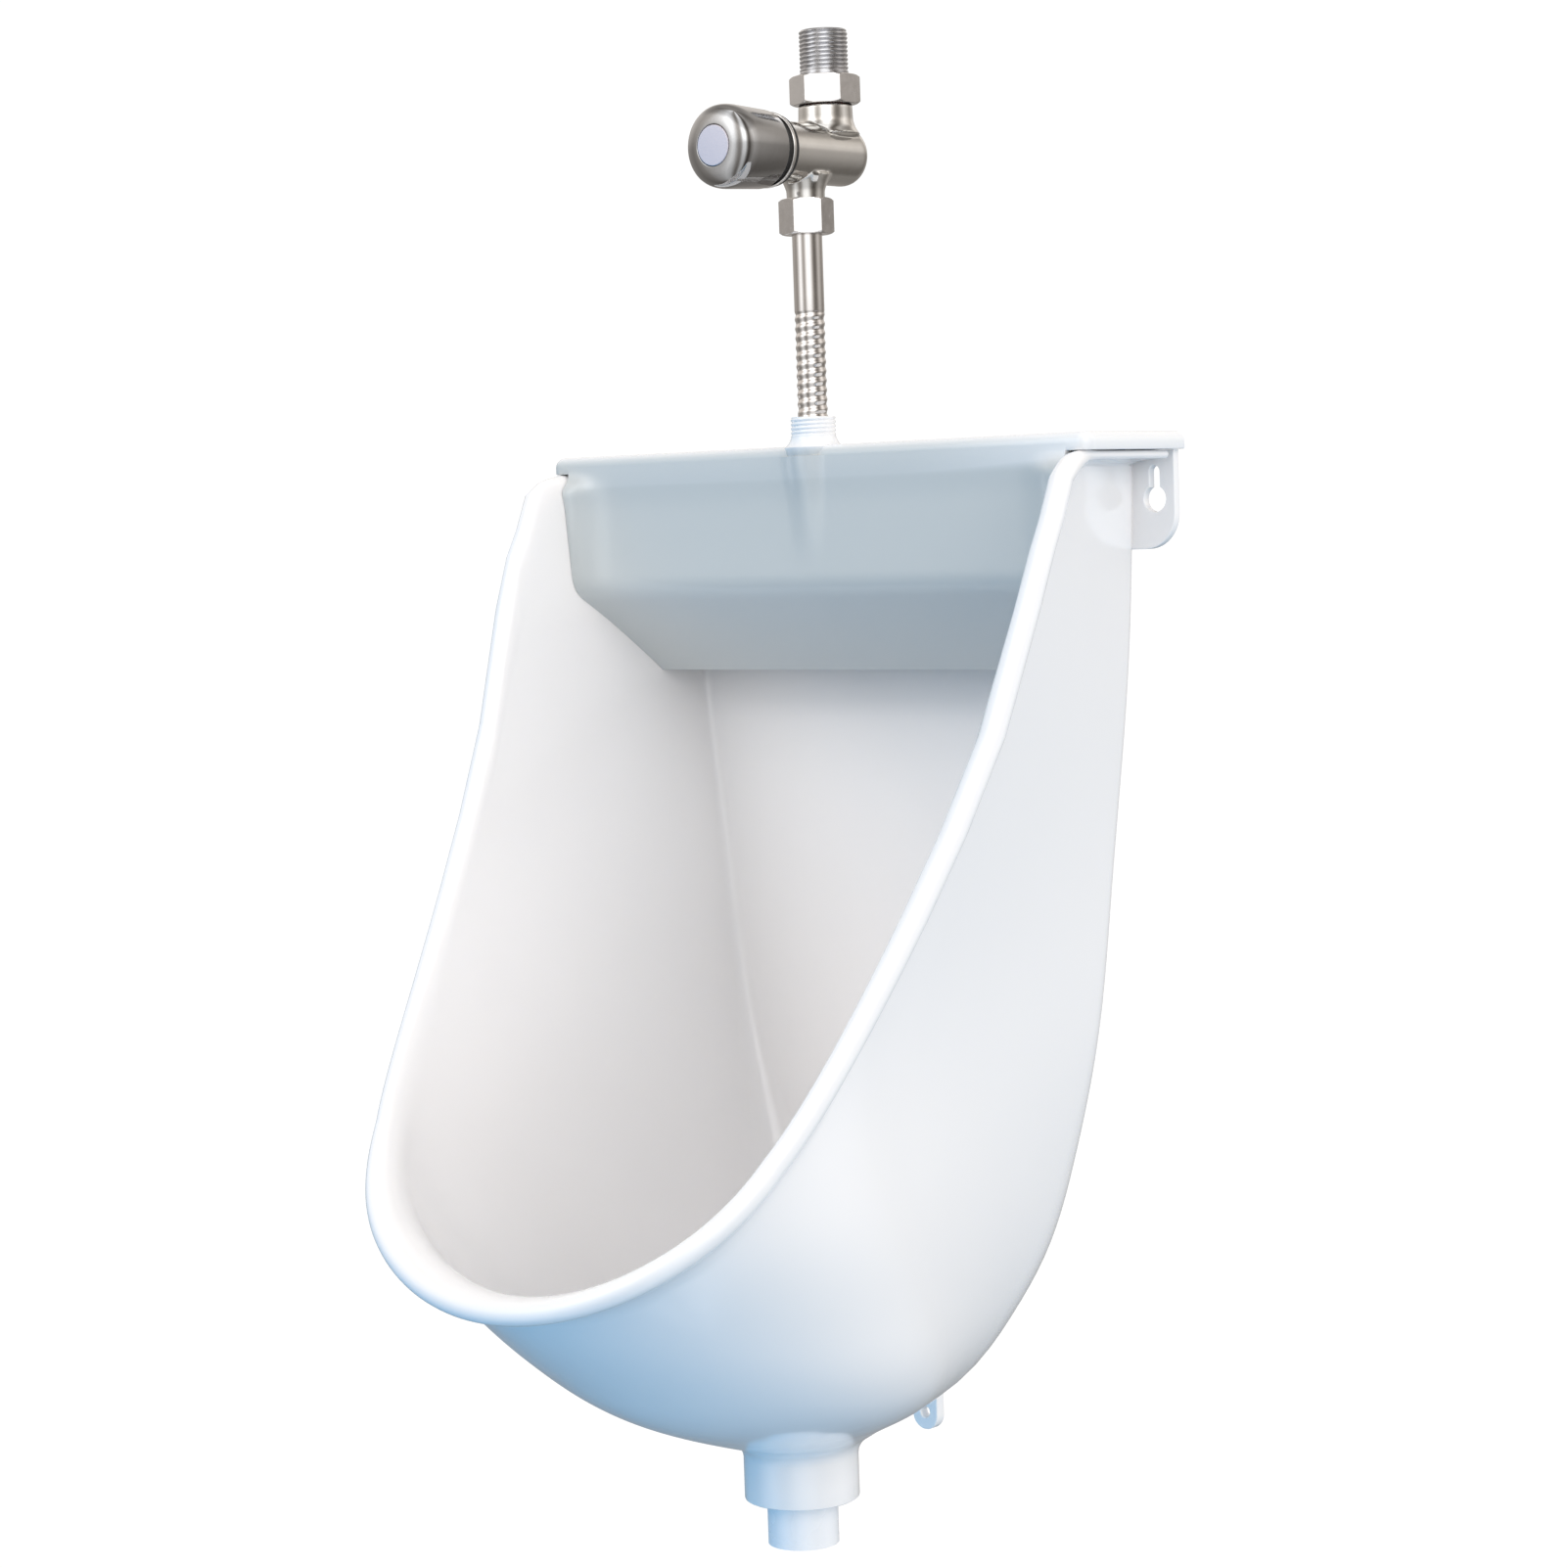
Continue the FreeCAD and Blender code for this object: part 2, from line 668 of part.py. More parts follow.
def outlet_reducer():
    plug = rod(spigot_radius - spigot_wall - reducer_gap, spigot_end(), Z, reducer_plug_length)
    length = reducer_length + reducer_plug_length
    stub = rod(reducer_radius, spigot_end() - Z * reducer_length, Z, length)
    waterway = rod(reducer_radius - reducer_wall, spigot_end() - Z * (reducer_length + 1), Z, length + 2)
    return plug.fuse(stub).cut(waterway).removeSplitter()


def reducer_ring():
    """Flat seal between the reducer's plug and the neck of the spigot."""
    outer = spigot_radius - spigot_wall - reducer_gap
    return pipe_piece(outer, outer - seal_width, spigot_end() + Z * reducer_plug_length, Z, seal_thickness)


# ---------------------------------------------------------------- flush pipe

def flush_pipe():
    """Chromed pipe, plain above and rolled thinner below, where its grooves let it bend."""
    foot = Vector(0, spud_y, level(pipe_in_socket))
    length = pipe_top + pipe_in_socket
    rolled = pipe_in_socket + groove_start
    profile = [
        (pipe_radius - pipe_wall, 0), (pipe_radius, 0),
        (pipe_radius, rolled), (pipe_radius - groove_depth, rolled + groove_depth),
        (pipe_radius - groove_depth, rolled + groove_length - groove_depth), (pipe_radius, rolled + groove_length),
        (pipe_radius, length), (pipe_radius - pipe_wall, length),
    ]
    return turned(profile, foot, Z)


def spud_seal():
    foot = Vector(0, spud_y, level(pipe_in_socket - 1))
    return pipe_piece(spud_bore_radius, pipe_radius, foot, Z, spud_seal_length)


def pipe_ferrule():
    foot = Vector(0, spud_y, top_z + pipe_top - ferrule_height)
    return pipe_piece(ferrule_radius - 0.6, pipe_radius, foot, Z, ferrule_height)


def outlet_washer():
    foot = Vector(0, spud_y, top_z + pipe_top)
    return pipe_piece(outlet_boss_radius - 0.2, pipe_radius - 1.4, foot, Z, outlet_washer_height)


def outlet_nut():
    foot = Vector(0, spud_y, top_z + outlet_nut_bottom)
    nut = hexagon(outlet_nut_across, outlet_nut_turn, foot, outlet_nut_height)
    passage = rod(pipe_radius + nut_gap, foot - Z, Z, outlet_nut_height + 2)
    chamber_foot = top_z + pipe_top - ferrule_height - foot.z
    chamber = rod(outlet_boss_radius + nut_gap, foot + Z * chamber_foot, Z, outlet_nut_height)
    return nut.cut(passage).cut(chamber)


# ---------------------------------------------------------------- valve body and inlet

def axis_point(y):
    return Vector(0, y, valve_z)


def valve_body():
    straight = valve_back - body_end_round - valve_front
    soft = body_end_round * (1 - math.sqrt(0.5))
    barrel = rod(body_radius, axis_point(valve_front), Y, straight)
    cap = tapered([(body_radius, 0), (body_radius - soft, body_end_round - soft),
                   (body_radius - body_end_round, body_end_round)],
                  axis_point(valve_front + straight), Y)
    inlet = rod(inlet_boss_radius, axis_point(inlet_y), Z, union_nut_bottom - valve_height - nut_gap)
    thread = rod(inlet_thread_radius, axis_point(inlet_y), Z, inlet_boss_top - valve_height)
    outlet_length = valve_height - outlet_boss_bottom
    outlet = rod(outlet_boss_radius, axis_point(spud_y), Z * -1, outlet_length)
    bore_end = valve_back - body_end_wall
    bore = rod(body_bore_radius, axis_point(valve_front - 1), Y, bore_end - valve_front + 1)
    inlet_way = rod(waterway_radius, axis_point(inlet_y), Z, inlet_boss_top - valve_height + 1)
    outlet_way = rod(waterway_radius, axis_point(spud_y), Z * -1, outlet_length + 1)
    body = barrel.fuse([cap, inlet, thread, outlet])
    return body.cut(bore).cut(inlet_way).cut(outlet_way).removeSplitter()


def inlet_washer():
    foot = Vector(0, inlet_y, top_z + inlet_boss_top)
    return pipe_piece(inlet_thread_radius - nut_gap, waterway_radius, foot, Z, inlet_washer_height)


def tail_foot():
    return top_z + inlet_boss_top + inlet_washer_height


def inlet_tailpiece():
    foot = Vector(0, inlet_y, tail_foot())
    length = top_z + tail_top - foot.z
    thread_start = tail_neck_end - inlet_boss_top - inlet_washer_height
    seat = rod(tail_flange_radius, foot, Z, tail_flange_height)
    neck = rod(tail_neck_radius, foot, Z, thread_start)
    thread = rod(tail_radius, foot + Z * thread_start, Z, length - thread_start)
    bore = rod(tail_bore_radius, foot - Z, Z, length + 2)
    recess = rod(filter_radius() + bore_gap, foot - Z, Z, filter_height + 1)
    return seat.fuse([neck, thread]).cut(bore).cut(recess)


def filter_radius():
    return tail_bore_radius + filter_height


def inlet_filter():
    """Perforated disc that keeps grit out of the valve."""
    foot = Vector(0, inlet_y, tail_foot())
    holes = [rod(filter_hole_radius, foot - Z, Z, filter_height + 2)]
    for k in range(filter_holes):
        a = 2 * math.pi * k / filter_holes
        spot = foot + Vector(math.cos(a), math.sin(a), 0) * filter_hole_circle - Z
        holes.append(rod(filter_hole_radius, spot, Z, filter_height + 2))
    return rod(filter_radius(), foot, Z, filter_height).cut(holes[0].fuse(holes[1:]))


def inlet_union_nut():
    foot = Vector(0, inlet_y, top_z + union_nut_bottom)
    nut = hexagon(union_nut_across, -union_nut_turn, foot, union_nut_height)
    shoulder = tail_foot() + tail_flange_height - foot.z
    wide = rod(tail_flange_radius + nut_gap, foot - Z, Z, shoulder + 1)
    narrow = rod(tail_radius + nut_gap, foot, Z, union_nut_height + 1)
    return nut.cut(wide).cut(narrow)


# ---------------------------------------------------------------- valve works

def valve_seat():
    return pipe_piece(body_bore_radius, seat_bore_radius, axis_point(seat_front), Y, seat_thickness)


def bonnet_gasket():
    start = axis_point(valve_front - gasket_thickness)
    return pipe_piece(gasket_radius, body_bore_radius, start, Y, gasket_thickness)


def bonnet_face():
    return valve_front - gasket_thickness - bonnet_flange


def stem_ring_y():
    return bonnet_face() + 1.2


def bonnet():
    """Screwed plug with the visible ring, the stem guide and the damping cylinder."""
    flange_start = axis_point(bonnet_face())
    ring = rod(bonnet_flange_radius, flange_start, Y, bonnet_flange)
    hub = rod(hub_radius, axis_point(bonnet_face() - hub_length), Y, hub_length)
    plug = rod(body_bore_radius - thread_gap, flange_start, Y,
               bonnet_flange + gasket_thickness + bonnet_plug_length)
    body = ring.fuse([hub, plug])
    guide = rod(stem_radius + bore_gap, axis_point(bonnet_face() - hub_length - 1), Y, 60)
    plug_end = valve_front + bonnet_plug_length
    cup = rod(bonnet_cup_radius, axis_point(plug_end - bonnet_cup_depth), Y, bonnet_cup_depth + 1)
    ring_groove = rod(stem_radius + 2 * o_ring_wire, axis_point(stem_ring_y() - o_ring_wire), Y,
                      2 * o_ring_wire)
    return body.cut(guide).cut(cup).cut(ring_groove)


def stem_o_ring():
    inner = stem_radius + bore_gap
    start = axis_point(stem_ring_y() - o_ring_wire)
    return pipe_piece(stem_radius + 2 * o_ring_wire, inner, start, Y, 2 * o_ring_wire)


def knob_sleeve():
    """Black rubber sleeve on the bonnet's hub, seen in the gap behind the button."""
    return pipe_piece(sleeve_radius, hub_radius, axis_point(bonnet_face() - sleeve_length), Y, sleeve_length)


def knob_back():
    return bonnet_face() - travel_gap


def knob_front():
    return knob_back() - knob_length


def push_knob():
    """Chromed button: tapered skirt, rounded shoulder, crowned face with a round recess."""
    face = knob_front() - knob_crown
    soft = knob_shoulder * (1 - math.sqrt(0.5))
    shoulder_at = knob_crown + knob_shoulder
    skin = tapered(
        [(knob_front_radius - 2 * knob_shoulder, 0),
         (knob_front_radius - knob_shoulder, knob_crown),
         (knob_front_radius - soft, knob_crown + soft),
         (knob_front_radius, shoulder_at),
         (knob_back_radius, knob_crown + knob_length)],
        axis_point(face), Y)
    hollow = rod(sleeve_radius + knob_sleeve_gap, axis_point(knob_front() + knob_shoulder + knob_wall), Y,
                 knob_length)
    stem_seat = rod(stem_radius + knob_wall, axis_point(knob_front()), Y, stem_start() - knob_front())
    recess = rod(badge_radius + badge_gap, axis_point(face - 1), Y, badge_thickness + 1)
    screw_pocket = rod(screw_head_radius + badge_gap, axis_point(face), Y,
                       badge_thickness + screw_head_height + badge_gap)
    screw_way = rod(screw_radius + badge_gap, axis_point(face), Y, knob_length)
    return skin.cut(hollow).fuse(stem_seat).cut(recess).cut(screw_pocket).cut(screw_way).removeSplitter()


def badge_seat():
    return knob_front() - knob_crown + badge_thickness


def knob_badge():
    """Plain round disc that covers the button's screw."""
    return rod(badge_radius, axis_point(badge_seat()), Y * -1, badge_thickness)


def stem_start():
    return knob_front() + knob_shoulder + knob_wall + 3


def knob_screw():
    head_y = badge_seat() + 0.1
    head = rod(screw_head_radius, axis_point(head_y), Y, screw_head_height)
    shank = rod(screw_radius, axis_point(head_y), Y, stem_start() + stem_thread_depth - 1 - head_y)
    cross = box(-screw_head_radius * 0.6, screw_head_radius * 0.6, head_y - 1, head_y + 1.2,
                valve_z - 0.4, valve_z + 0.4)
    upright = box(-0.4, 0.4, head_y - 1, head_y + 1.2,
                  valve_z - screw_head_radius * 0.6, valve_z + screw_head_radius * 0.6)
    return head.fuse(shank).cut(cross).cut(upright)


def washer_front():
    return seat_front + seat_thickness


def poppet_front():
    return washer_front() + washer_thickness


def plunger_stem():
    end = poppet_front()
    body = rod(stem_radius, axis_point(stem_start()), Y, end - stem_start())
    return body.cut(rod(screw_radius + 0.05, axis_point(stem_start() - 1), Y, stem_thread_depth + 1))


def piston_start():
    return valve_front + bonnet_plug_length - bonnet_cup_depth + 1.0


def damping_piston():
    return pipe_piece(bonnet_cup_radius - bore_gap, stem_radius, axis_point(piston_start()), Y, piston_length)


def piston_cup_seal():
    start = axis_point(piston_start() + piston_length)
    return pipe_piece(bonnet_cup_radius - bore_gap, stem_radius, start, Y, cup_seal_thickness)


def poppet_washer():
    return pipe_piece(washer_radius, stem_radius, axis_point(washer_front()), Y, washer_thickness)


def poppet():
    disc = rod(poppet_radius, axis_point(poppet_front()), Y, poppet_thickness)
    guide = rod(spring_radius - spring_wire_radius - 0.4, axis_point(poppet_front()), Y, poppet_thickness + 2.0)
    return disc.fuse(guide)


def return_spring():
    """Coil spring between the poppet and the body's closed end."""
    start = poppet_front() + poppet_thickness + spring_gap + spring_wire_radius
    end = valve_back - body_end_wall - spring_gap - spring_wire_radius
    rise = (end - start) / (spring_turns * 2 * math.pi)
    count = int(spring_turns * spring_sections)
    wires = []
    for k in range(count + 1):
        a = spring_turns * 2 * math.pi * k / count
        radial = Vector(math.cos(a), 0, math.sin(a))
        tangent = Vector(-math.sin(a) * spring_radius, rise, math.cos(a) * spring_radius)
        tangent.normalize()
        across = tangent.cross(radial)
        centre = axis_point(start + rise * a) + radial * spring_radius
        points = []
        for i in range(spring_sides + 1):
            b = 2 * math.pi * i / spring_sides
            points.append(centre + (radial * math.cos(b) + across * math.sin(b)) * spring_wire_radius)
        wires.append(Part.makePolygon(points))
    return Part.makeLoft(wires, True, True)


# ---------------------------------------------------------------- build

outer_skin = shell_body(0.0)
export("bowl_shell", bowl_shell(outer_skin))
export("flush_hood", flush_hood())
export("drain_strainer", drain_strainer())
export("outlet_reducer", outlet_reducer())
export("reducer_ring", reducer_ring())
export("flush_pipe", flush_pipe())
export("spud_seal", spud_seal())
export("pipe_ferrule", pipe_ferrule())
export("outlet_washer", outlet_washer())
export("outlet_nut", outlet_nut())
export("valve_body", valve_body())
export("inlet_washer", inlet_washer())
export("inlet_tailpiece", inlet_tailpiece())
export("inlet_filter", inlet_filter())
export("inlet_union_nut", inlet_union_nut())
export("valve_seat", valve_seat())
export("bonnet_gasket", bonnet_gasket())
export("bonnet", bonnet())
export("stem_o_ring", stem_o_ring())
export("knob_sleeve", knob_sleeve())
export("push_knob", push_knob())
export("knob_badge", knob_badge())
export("knob_screw", knob_screw())
export("plunger_stem", plunger_stem())
export("damping_piston", damping_piston())
export("piston_cup_seal", piston_cup_seal())
export("poppet_washer", poppet_washer())
export("poppet", poppet())
export("return_spring", return_spring())
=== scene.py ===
import json
import math

import bmesh
import bpy
import numpy as np
from mathutils import Matrix, Vector


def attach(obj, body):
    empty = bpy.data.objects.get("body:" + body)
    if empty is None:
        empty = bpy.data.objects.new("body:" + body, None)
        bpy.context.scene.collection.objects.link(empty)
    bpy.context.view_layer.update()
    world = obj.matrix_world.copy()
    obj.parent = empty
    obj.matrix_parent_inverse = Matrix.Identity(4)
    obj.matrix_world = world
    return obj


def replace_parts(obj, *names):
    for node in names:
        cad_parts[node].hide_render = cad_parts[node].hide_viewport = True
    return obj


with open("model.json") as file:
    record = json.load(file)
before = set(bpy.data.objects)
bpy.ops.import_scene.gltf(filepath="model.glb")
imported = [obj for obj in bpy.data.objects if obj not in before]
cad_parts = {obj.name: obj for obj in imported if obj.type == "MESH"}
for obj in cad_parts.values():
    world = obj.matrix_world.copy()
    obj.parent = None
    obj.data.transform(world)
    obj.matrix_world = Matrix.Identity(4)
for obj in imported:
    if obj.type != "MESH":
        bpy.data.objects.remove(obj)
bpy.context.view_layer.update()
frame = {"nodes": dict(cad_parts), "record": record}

# Lengths are in millimetres, and MM turns them into metres when meshes are made. The wall's face is Y = 0,
# the object stands out from it along -Y, and Z = 0 is the height of the wall screws. A depth is measured down
# from the top of the cover.
MM = 0.001
TOP = 28.0                     # top of the cover
WALL = 4.0                     # the shell's wall
COVER = 7.5                    # thickness of the cover
VALVE_Z = TOP + 125.0          # height of the valve's axis
SPUD_Y = -61.7                 # upright axis of the spud, the pipe and the valve's outlet
INLET_Y = -46.5                # upright axis of the valve's inlet
DRAIN_Y = -93.0                # upright axis of the drain
X = Vector((1, 0, 0))
Y = Vector((0, 1, 0))
Z = Vector((0, 0, 1))

# ---------------------------------------------------------------- camera and light

def look(position, azimuth, pitch, roll, lens):
    """Camera with azimuth 0 along +Y and positive to the left, pitch downwards, and roll, in degrees."""
    a, p, r = (math.radians(v) for v in (azimuth, pitch, roll))
    ahead = Vector((-math.sin(a) * math.cos(p), math.cos(a) * math.cos(p), -math.sin(p)))
    right = Vector((math.cos(a), math.sin(a), 0))
    up = right.cross(ahead)
    side = right * math.cos(r) - up * math.sin(r)
    head = right * math.sin(r) + up * math.cos(r)
    data = bpy.data.cameras.new("camera")
    data.lens = lens
    data.sensor_width = 36
    data.clip_end = 50
    camera = bpy.data.objects.new("camera", data)
    turn = Matrix((side, head, -ahead)).transposed().to_4x4()
    camera.matrix_world = Matrix.Translation(Vector(position) * MM) @ turn
    bpy.context.scene.collection.objects.link(camera)
    bpy.context.scene.camera = camera


def area_light(name, position, target, size, power, colour):
    """Rectangular lamp, placed in metres. Gloss doesn't mirror it, because the world holds the softboxes."""
    data = bpy.data.lights.new(name, "AREA")
    data.shape = "RECTANGLE"
    data.size, data.size_y = size
    data.energy = power
    data.color = colour
    lamp = bpy.data.objects.new(name, data)
    lamp.location = position
    lamp.visible_glossy = False
    lamp.rotation_euler = (Vector(target) - Vector(position)).to_track_quat("-Z", "Y").to_euler()
    bpy.context.scene.collection.objects.link(lamp)


BOWL_MIDDLE = (0, -0.1, -0.1)
BOWL_UNDERSIDE = (0.0, -0.16, -0.36)

look(position=(988.46, -1256.93, -6.28), azimuth=40.25, pitch=4.12, roll=1.93, lens=82.10)
bpy.context.scene.view_settings.view_transform = "Standard"
area_light("key", (-1.4, -2.4, 2.2), BOWL_MIDDLE, (1.6, 1.6), 36, (1.0, 0.97, 0.945))
area_light("side", (2.6, -0.7, 0.7), BOWL_MIDDLE, (1.4, 2.2), 27, (1.0, 0.955, 0.92))
area_light("back", (-1.5, 2.4, -0.4), BOWL_MIDDLE, (1.8, 1.4), 36, (1.0, 0.95, 0.90))
area_light("under", (-0.40, -0.72, -0.80), BOWL_UNDERSIDE, (0.5, 0.5), 1.6, (0.0, 0.45, 1.0))

# What polished metal mirrors, round the horizon: azimuth from the front (-Y), positive to the right,
# and brightness. The bright stretches are softboxes and the rest is the dim studio between them.
AROUND = [
    (-180, 0.45), (-150, 0.40), (-114, 0.42), (-90, 0.45), (-63, 0.34), (-50, 0.42), (-36, 0.85), (-24, 1.35),
    (-14, 1.15), (-6, 0.72), (1, 0.46), (9, 0.42), (18, 0.70), (29, 1.30), (52, 1.40), (62, 0.95), (69, 0.62),
    (77, 0.32), (85, 0.17), (93, 0.14), (102, 0.20), (112, 0.42), (126, 0.62), (140, 0.48), (156, 0.30),
    (168, 0.28), (180, 0.45),
]
# The same by height, from straight down (-1) to straight up (1), as a factor.
UPWARD = [
    (-1.0, 0.50), (-0.57, 0.60), (-0.37, 0.72), (-0.15, 0.92), (0.0, 1.0), (0.09, 1.1), (0.20, 1.7),
    (0.33, 2.1), (0.50, 2.2), (0.62, 1.3), (0.80, 0.9), (1.0, 1.2),
]
RAMP_TOP = 2.5                 # brightness of a ramp's white
WARMTH = 0.22                  # how warm the dim stretches round the horizon are
WHITE = (1.0, 1.0, 1.0, 1.0)
BACKDROP = 1.05                # just over white, so that the ground shows pure white
SKY_AXIS = (0.55, 0.0, 0.83)   # the soft light is white from this side and blue from the other
SKY_BLUE = (0.0, 0.27, 0.53, 1.0)
SKY_FADE = (-0.30, 0.03)       # where the blue ends and the white starts along that axis


def remap(tree, value, start, end, low=0.0, high=1.0, interpolation="LINEAR"):
    """Value taken from start..end to low..high, and held at the ends."""
    node = tree.nodes.new("ShaderNodeMapRange")
    node.interpolation_type = interpolation
    for name, number in (("From Min", start), ("From Max", end), ("To Min", low), ("To Max", high)):
        node.inputs[name].default_value = number
    tree.links.new(value, node.inputs["Value"])
    return node.outputs["Result"]


def ramp(tree, value, low, high, stops, warmth):
    """Brightness read from (value, brightness) stops; dim stops are slightly warm."""
    node = tree.nodes.new("ShaderNodeValToRGB")
    elements = node.color_ramp.elements
    while len(elements) < len(stops):
        elements.new(0.5)
    for element, (place, bright) in zip(elements, stops):
        element.position = (place - low) / (high - low)
        dim = max(0.0, 1.0 - bright) * warmth
        level = bright / RAMP_TOP
        element.color = (level, level * (1 - 0.5 * dim), level * (1 - dim), 1)
    tree.links.new(remap(tree, value, low, high), node.inputs["Fac"])
    return node.outputs["Color"]


def calculate(tree, operation, first, second=None):
    """Math node on sockets or constants."""
    node = tree.nodes.new("ShaderNodeMath")
    node.operation = operation
    for socket, value in zip(node.inputs, (first, second)):
        if value is None:
            continue
        if isinstance(value, (int, float)):
            socket.default_value = value
        else:
            tree.links.new(value, socket)
    return node.outputs[0]


def mixed(tree, blend, factor, first, second):
    """Colour mix of two sockets or constants."""
    node = tree.nodes.new("ShaderNodeMix")
    node.data_type = "RGBA"
    node.blend_type = blend
    for socket, value in zip((node.inputs[0], node.inputs[6], node.inputs[7]), (factor, first, second)):
        if isinstance(value, (float, tuple)):
            socket.default_value = value
        else:
            tree.links.new(value, socket)
    return node.outputs[2]


def background(tree, colour, strength):
    """Light of the world in one colour, a socket or a constant."""
    node = tree.nodes.new("ShaderNodeBackground")
    node.inputs["Strength"].default_value = strength
    if isinstance(colour, tuple):
        node.inputs["Color"].default_value = colour
    else:
        tree.links.new(colour, node.inputs["Color"])
    return node.outputs[0]


def choose(tree, test, otherwise, chosen):
    """One of two backgrounds, by the kind of ray."""
    node = tree.nodes.new("ShaderNodeMixShader")
    for socket, source in zip(node.inputs, (test, otherwise, chosen)):
        tree.links.new(source, socket)
    return node.outputs[0]


def world_light():
    """Studio round the object: softboxes for the metal, a soft sky for the rest, white behind it all."""
    world = bpy.data.worlds.new("studio")
    bpy.context.scene.world = world
    world.use_nodes = True
    tree = world.node_tree
    direction = tree.nodes.new("ShaderNodeTexCoord").outputs["Generated"]
    split = tree.nodes.new("ShaderNodeSeparateXYZ")
    tree.links.new(direction, split.inputs[0])
    front = calculate(tree, "MULTIPLY", split.outputs["Y"], -1.0)
    azimuth = calculate(tree, "ARCTAN2", split.outputs["X"], front)
    degrees = calculate(tree, "MULTIPLY", azimuth, 180 / math.pi)
    around = ramp(tree, degrees, -180, 180, AROUND, WARMTH)
    upward = ramp(tree, split.outputs["Z"], -1, 1, UPWARD, 0.0)
    boxes = mixed(tree, "MULTIPLY", 1.0, around, upward)
    along = tree.nodes.new("ShaderNodeVectorMath")
    along.operation = "DOT_PRODUCT"
    tree.links.new(direction, along.inputs[0])
    along.inputs[1].default_value = SKY_AXIS
    fade = remap(tree, along.outputs["Value"], *SKY_FADE, interpolation="SMOOTHSTEP")
    sky = background(tree, mixed(tree, "MIX", fade, SKY_BLUE, WHITE), 1.0)
    path = tree.nodes.new("ShaderNodeLightPath").outputs
    lit = choose(tree, path["Is Glossy Ray"], sky, background(tree, boxes, RAMP_TOP ** 2))
    seen = choose(tree, path["Is Camera Ray"], lit, background(tree, WHITE, BACKDROP))
    tree.links.new(seen, tree.nodes["World Output"].inputs["Surface"])


world_light()

# ---------------------------------------------------------------- materials

def material(name, colour, roughness, metallic=0.0, coat=0.0, subsurface=0.0):
    """Principled material with its node tree and main shader."""
    m = bpy.data.materials.new(name)
    m.use_nodes = True
    shader = m.node_tree.nodes["Principled BSDF"]
    shader.inputs["Base Color"].default_value = (*colour, 1)
    shader.inputs["Roughness"].default_value = roughness
    shader.inputs["Metallic"].default_value = metallic
    shader.inputs["Coat Weight"].default_value = coat
    shader.inputs["Subsurface Weight"].default_value = subsurface
    m.diffuse_color = (*colour, 1)
    return m, m.node_tree, shader


def noise(tree, scale, detail=3.0, stretch=None):
    """Noise texture in object space; stretch scales its axes."""
    coord = tree.nodes.new("ShaderNodeTexCoord")
    texture = tree.nodes.new("ShaderNodeTexNoise")
    texture.inputs["Scale"].default_value = scale
    texture.inputs["Detail"].default_value = detail
    source = coord.outputs["Object"]
    if stretch:
        mapping = tree.nodes.new("ShaderNodeMapping")
        mapping.inputs["Scale"].default_value = stretch
        tree.links.new(source, mapping.inputs["Vector"])
        source = mapping.outputs["Vector"]
    tree.links.new(source, texture.inputs["Vector"])
    return texture.outputs["Fac"]


def tint(tree, shader, fac, first, second):
    """Colour that drifts between two close shades."""
    tree.links.new(mixed(tree, "MIX", fac, (*first, 1), (*second, 1)), shader.inputs["Base Color"])


def cloud(tree, shader, fac, low, high):
    """Roughness that drifts between two values; most of a noise lies between 0.3 and 0.7."""
    tree.links.new(remap(tree, fac, 0.3, 0.7, low, high), shader.inputs["Roughness"])


def bump(tree, shader, fac, strength, distance):
    """Small waves or grain in the surface; distance is in metres."""
    node = tree.nodes.new("ShaderNodeBump")
    node.inputs["Strength"].default_value = strength
    node.inputs["Distance"].default_value = distance
    tree.links.new(fac, node.inputs["Height"])
    tree.links.new(node.outputs["Normal"], shader.inputs["Normal"])


def plastic(name, colour, dark, roughness, coat=0.4, subsurface=0.05):
    """Glossy moulded plastic: faint flow tint, soft waviness, fine grain in the gloss."""
    m, tree, shader = material(name, colour, roughness, coat=coat, subsurface=subsurface)
    shader.inputs["Subsurface Radius"].default_value = (0.004, 0.004, 0.005)
    shader.inputs["Coat Roughness"].default_value = 0.06
    tint(tree, shader, noise(tree, scale=9.0, detail=2.0), colour, dark)
    cloud(tree, shader, noise(tree, scale=60.0, detail=4.0), roughness * 0.8, roughness * 1.25)
    bump(tree, shader, noise(tree, scale=24.0, detail=2.0), strength=0.05, distance=0.002)
    return m


def chrome(name, colour, rough, wave=0.10, stretch=None):
    """Plated metal: slightly wavy, with fine polishing marks and cloudy gloss."""
    m, tree, shader = material(name, colour, rough, metallic=1.0)
    tint(tree, shader, noise(tree, scale=45.0), colour, tuple(c * 0.86 for c in colour))
    cloud(tree, shader, noise(tree, scale=320.0, detail=4.0, stretch=stretch), rough * 0.7, rough * 1.8)
    bump(tree, shader, noise(tree, scale=130.0, stretch=stretch), strength=wave, distance=0.0006)
    return m


def rubber(name, colour, roughness):
    """Matt rubber or fibre with a fine grain."""
    m, tree, shader = material(name, colour, roughness)
    tint(tree, shader, noise(tree, scale=180.0, detail=4.0), colour, tuple(c * 1.6 for c in colour))
    bump(tree, shader, noise(tree, scale=700.0), strength=0.25, distance=0.0003)
    return m


# Painted shade: the blue-grey that the hood's face and the cover's front edge are given, standing in for the
# shadow they lie in.
HOOD_PAINTED_SHADE = (0.53, 0.555, 0.555, 1.0)


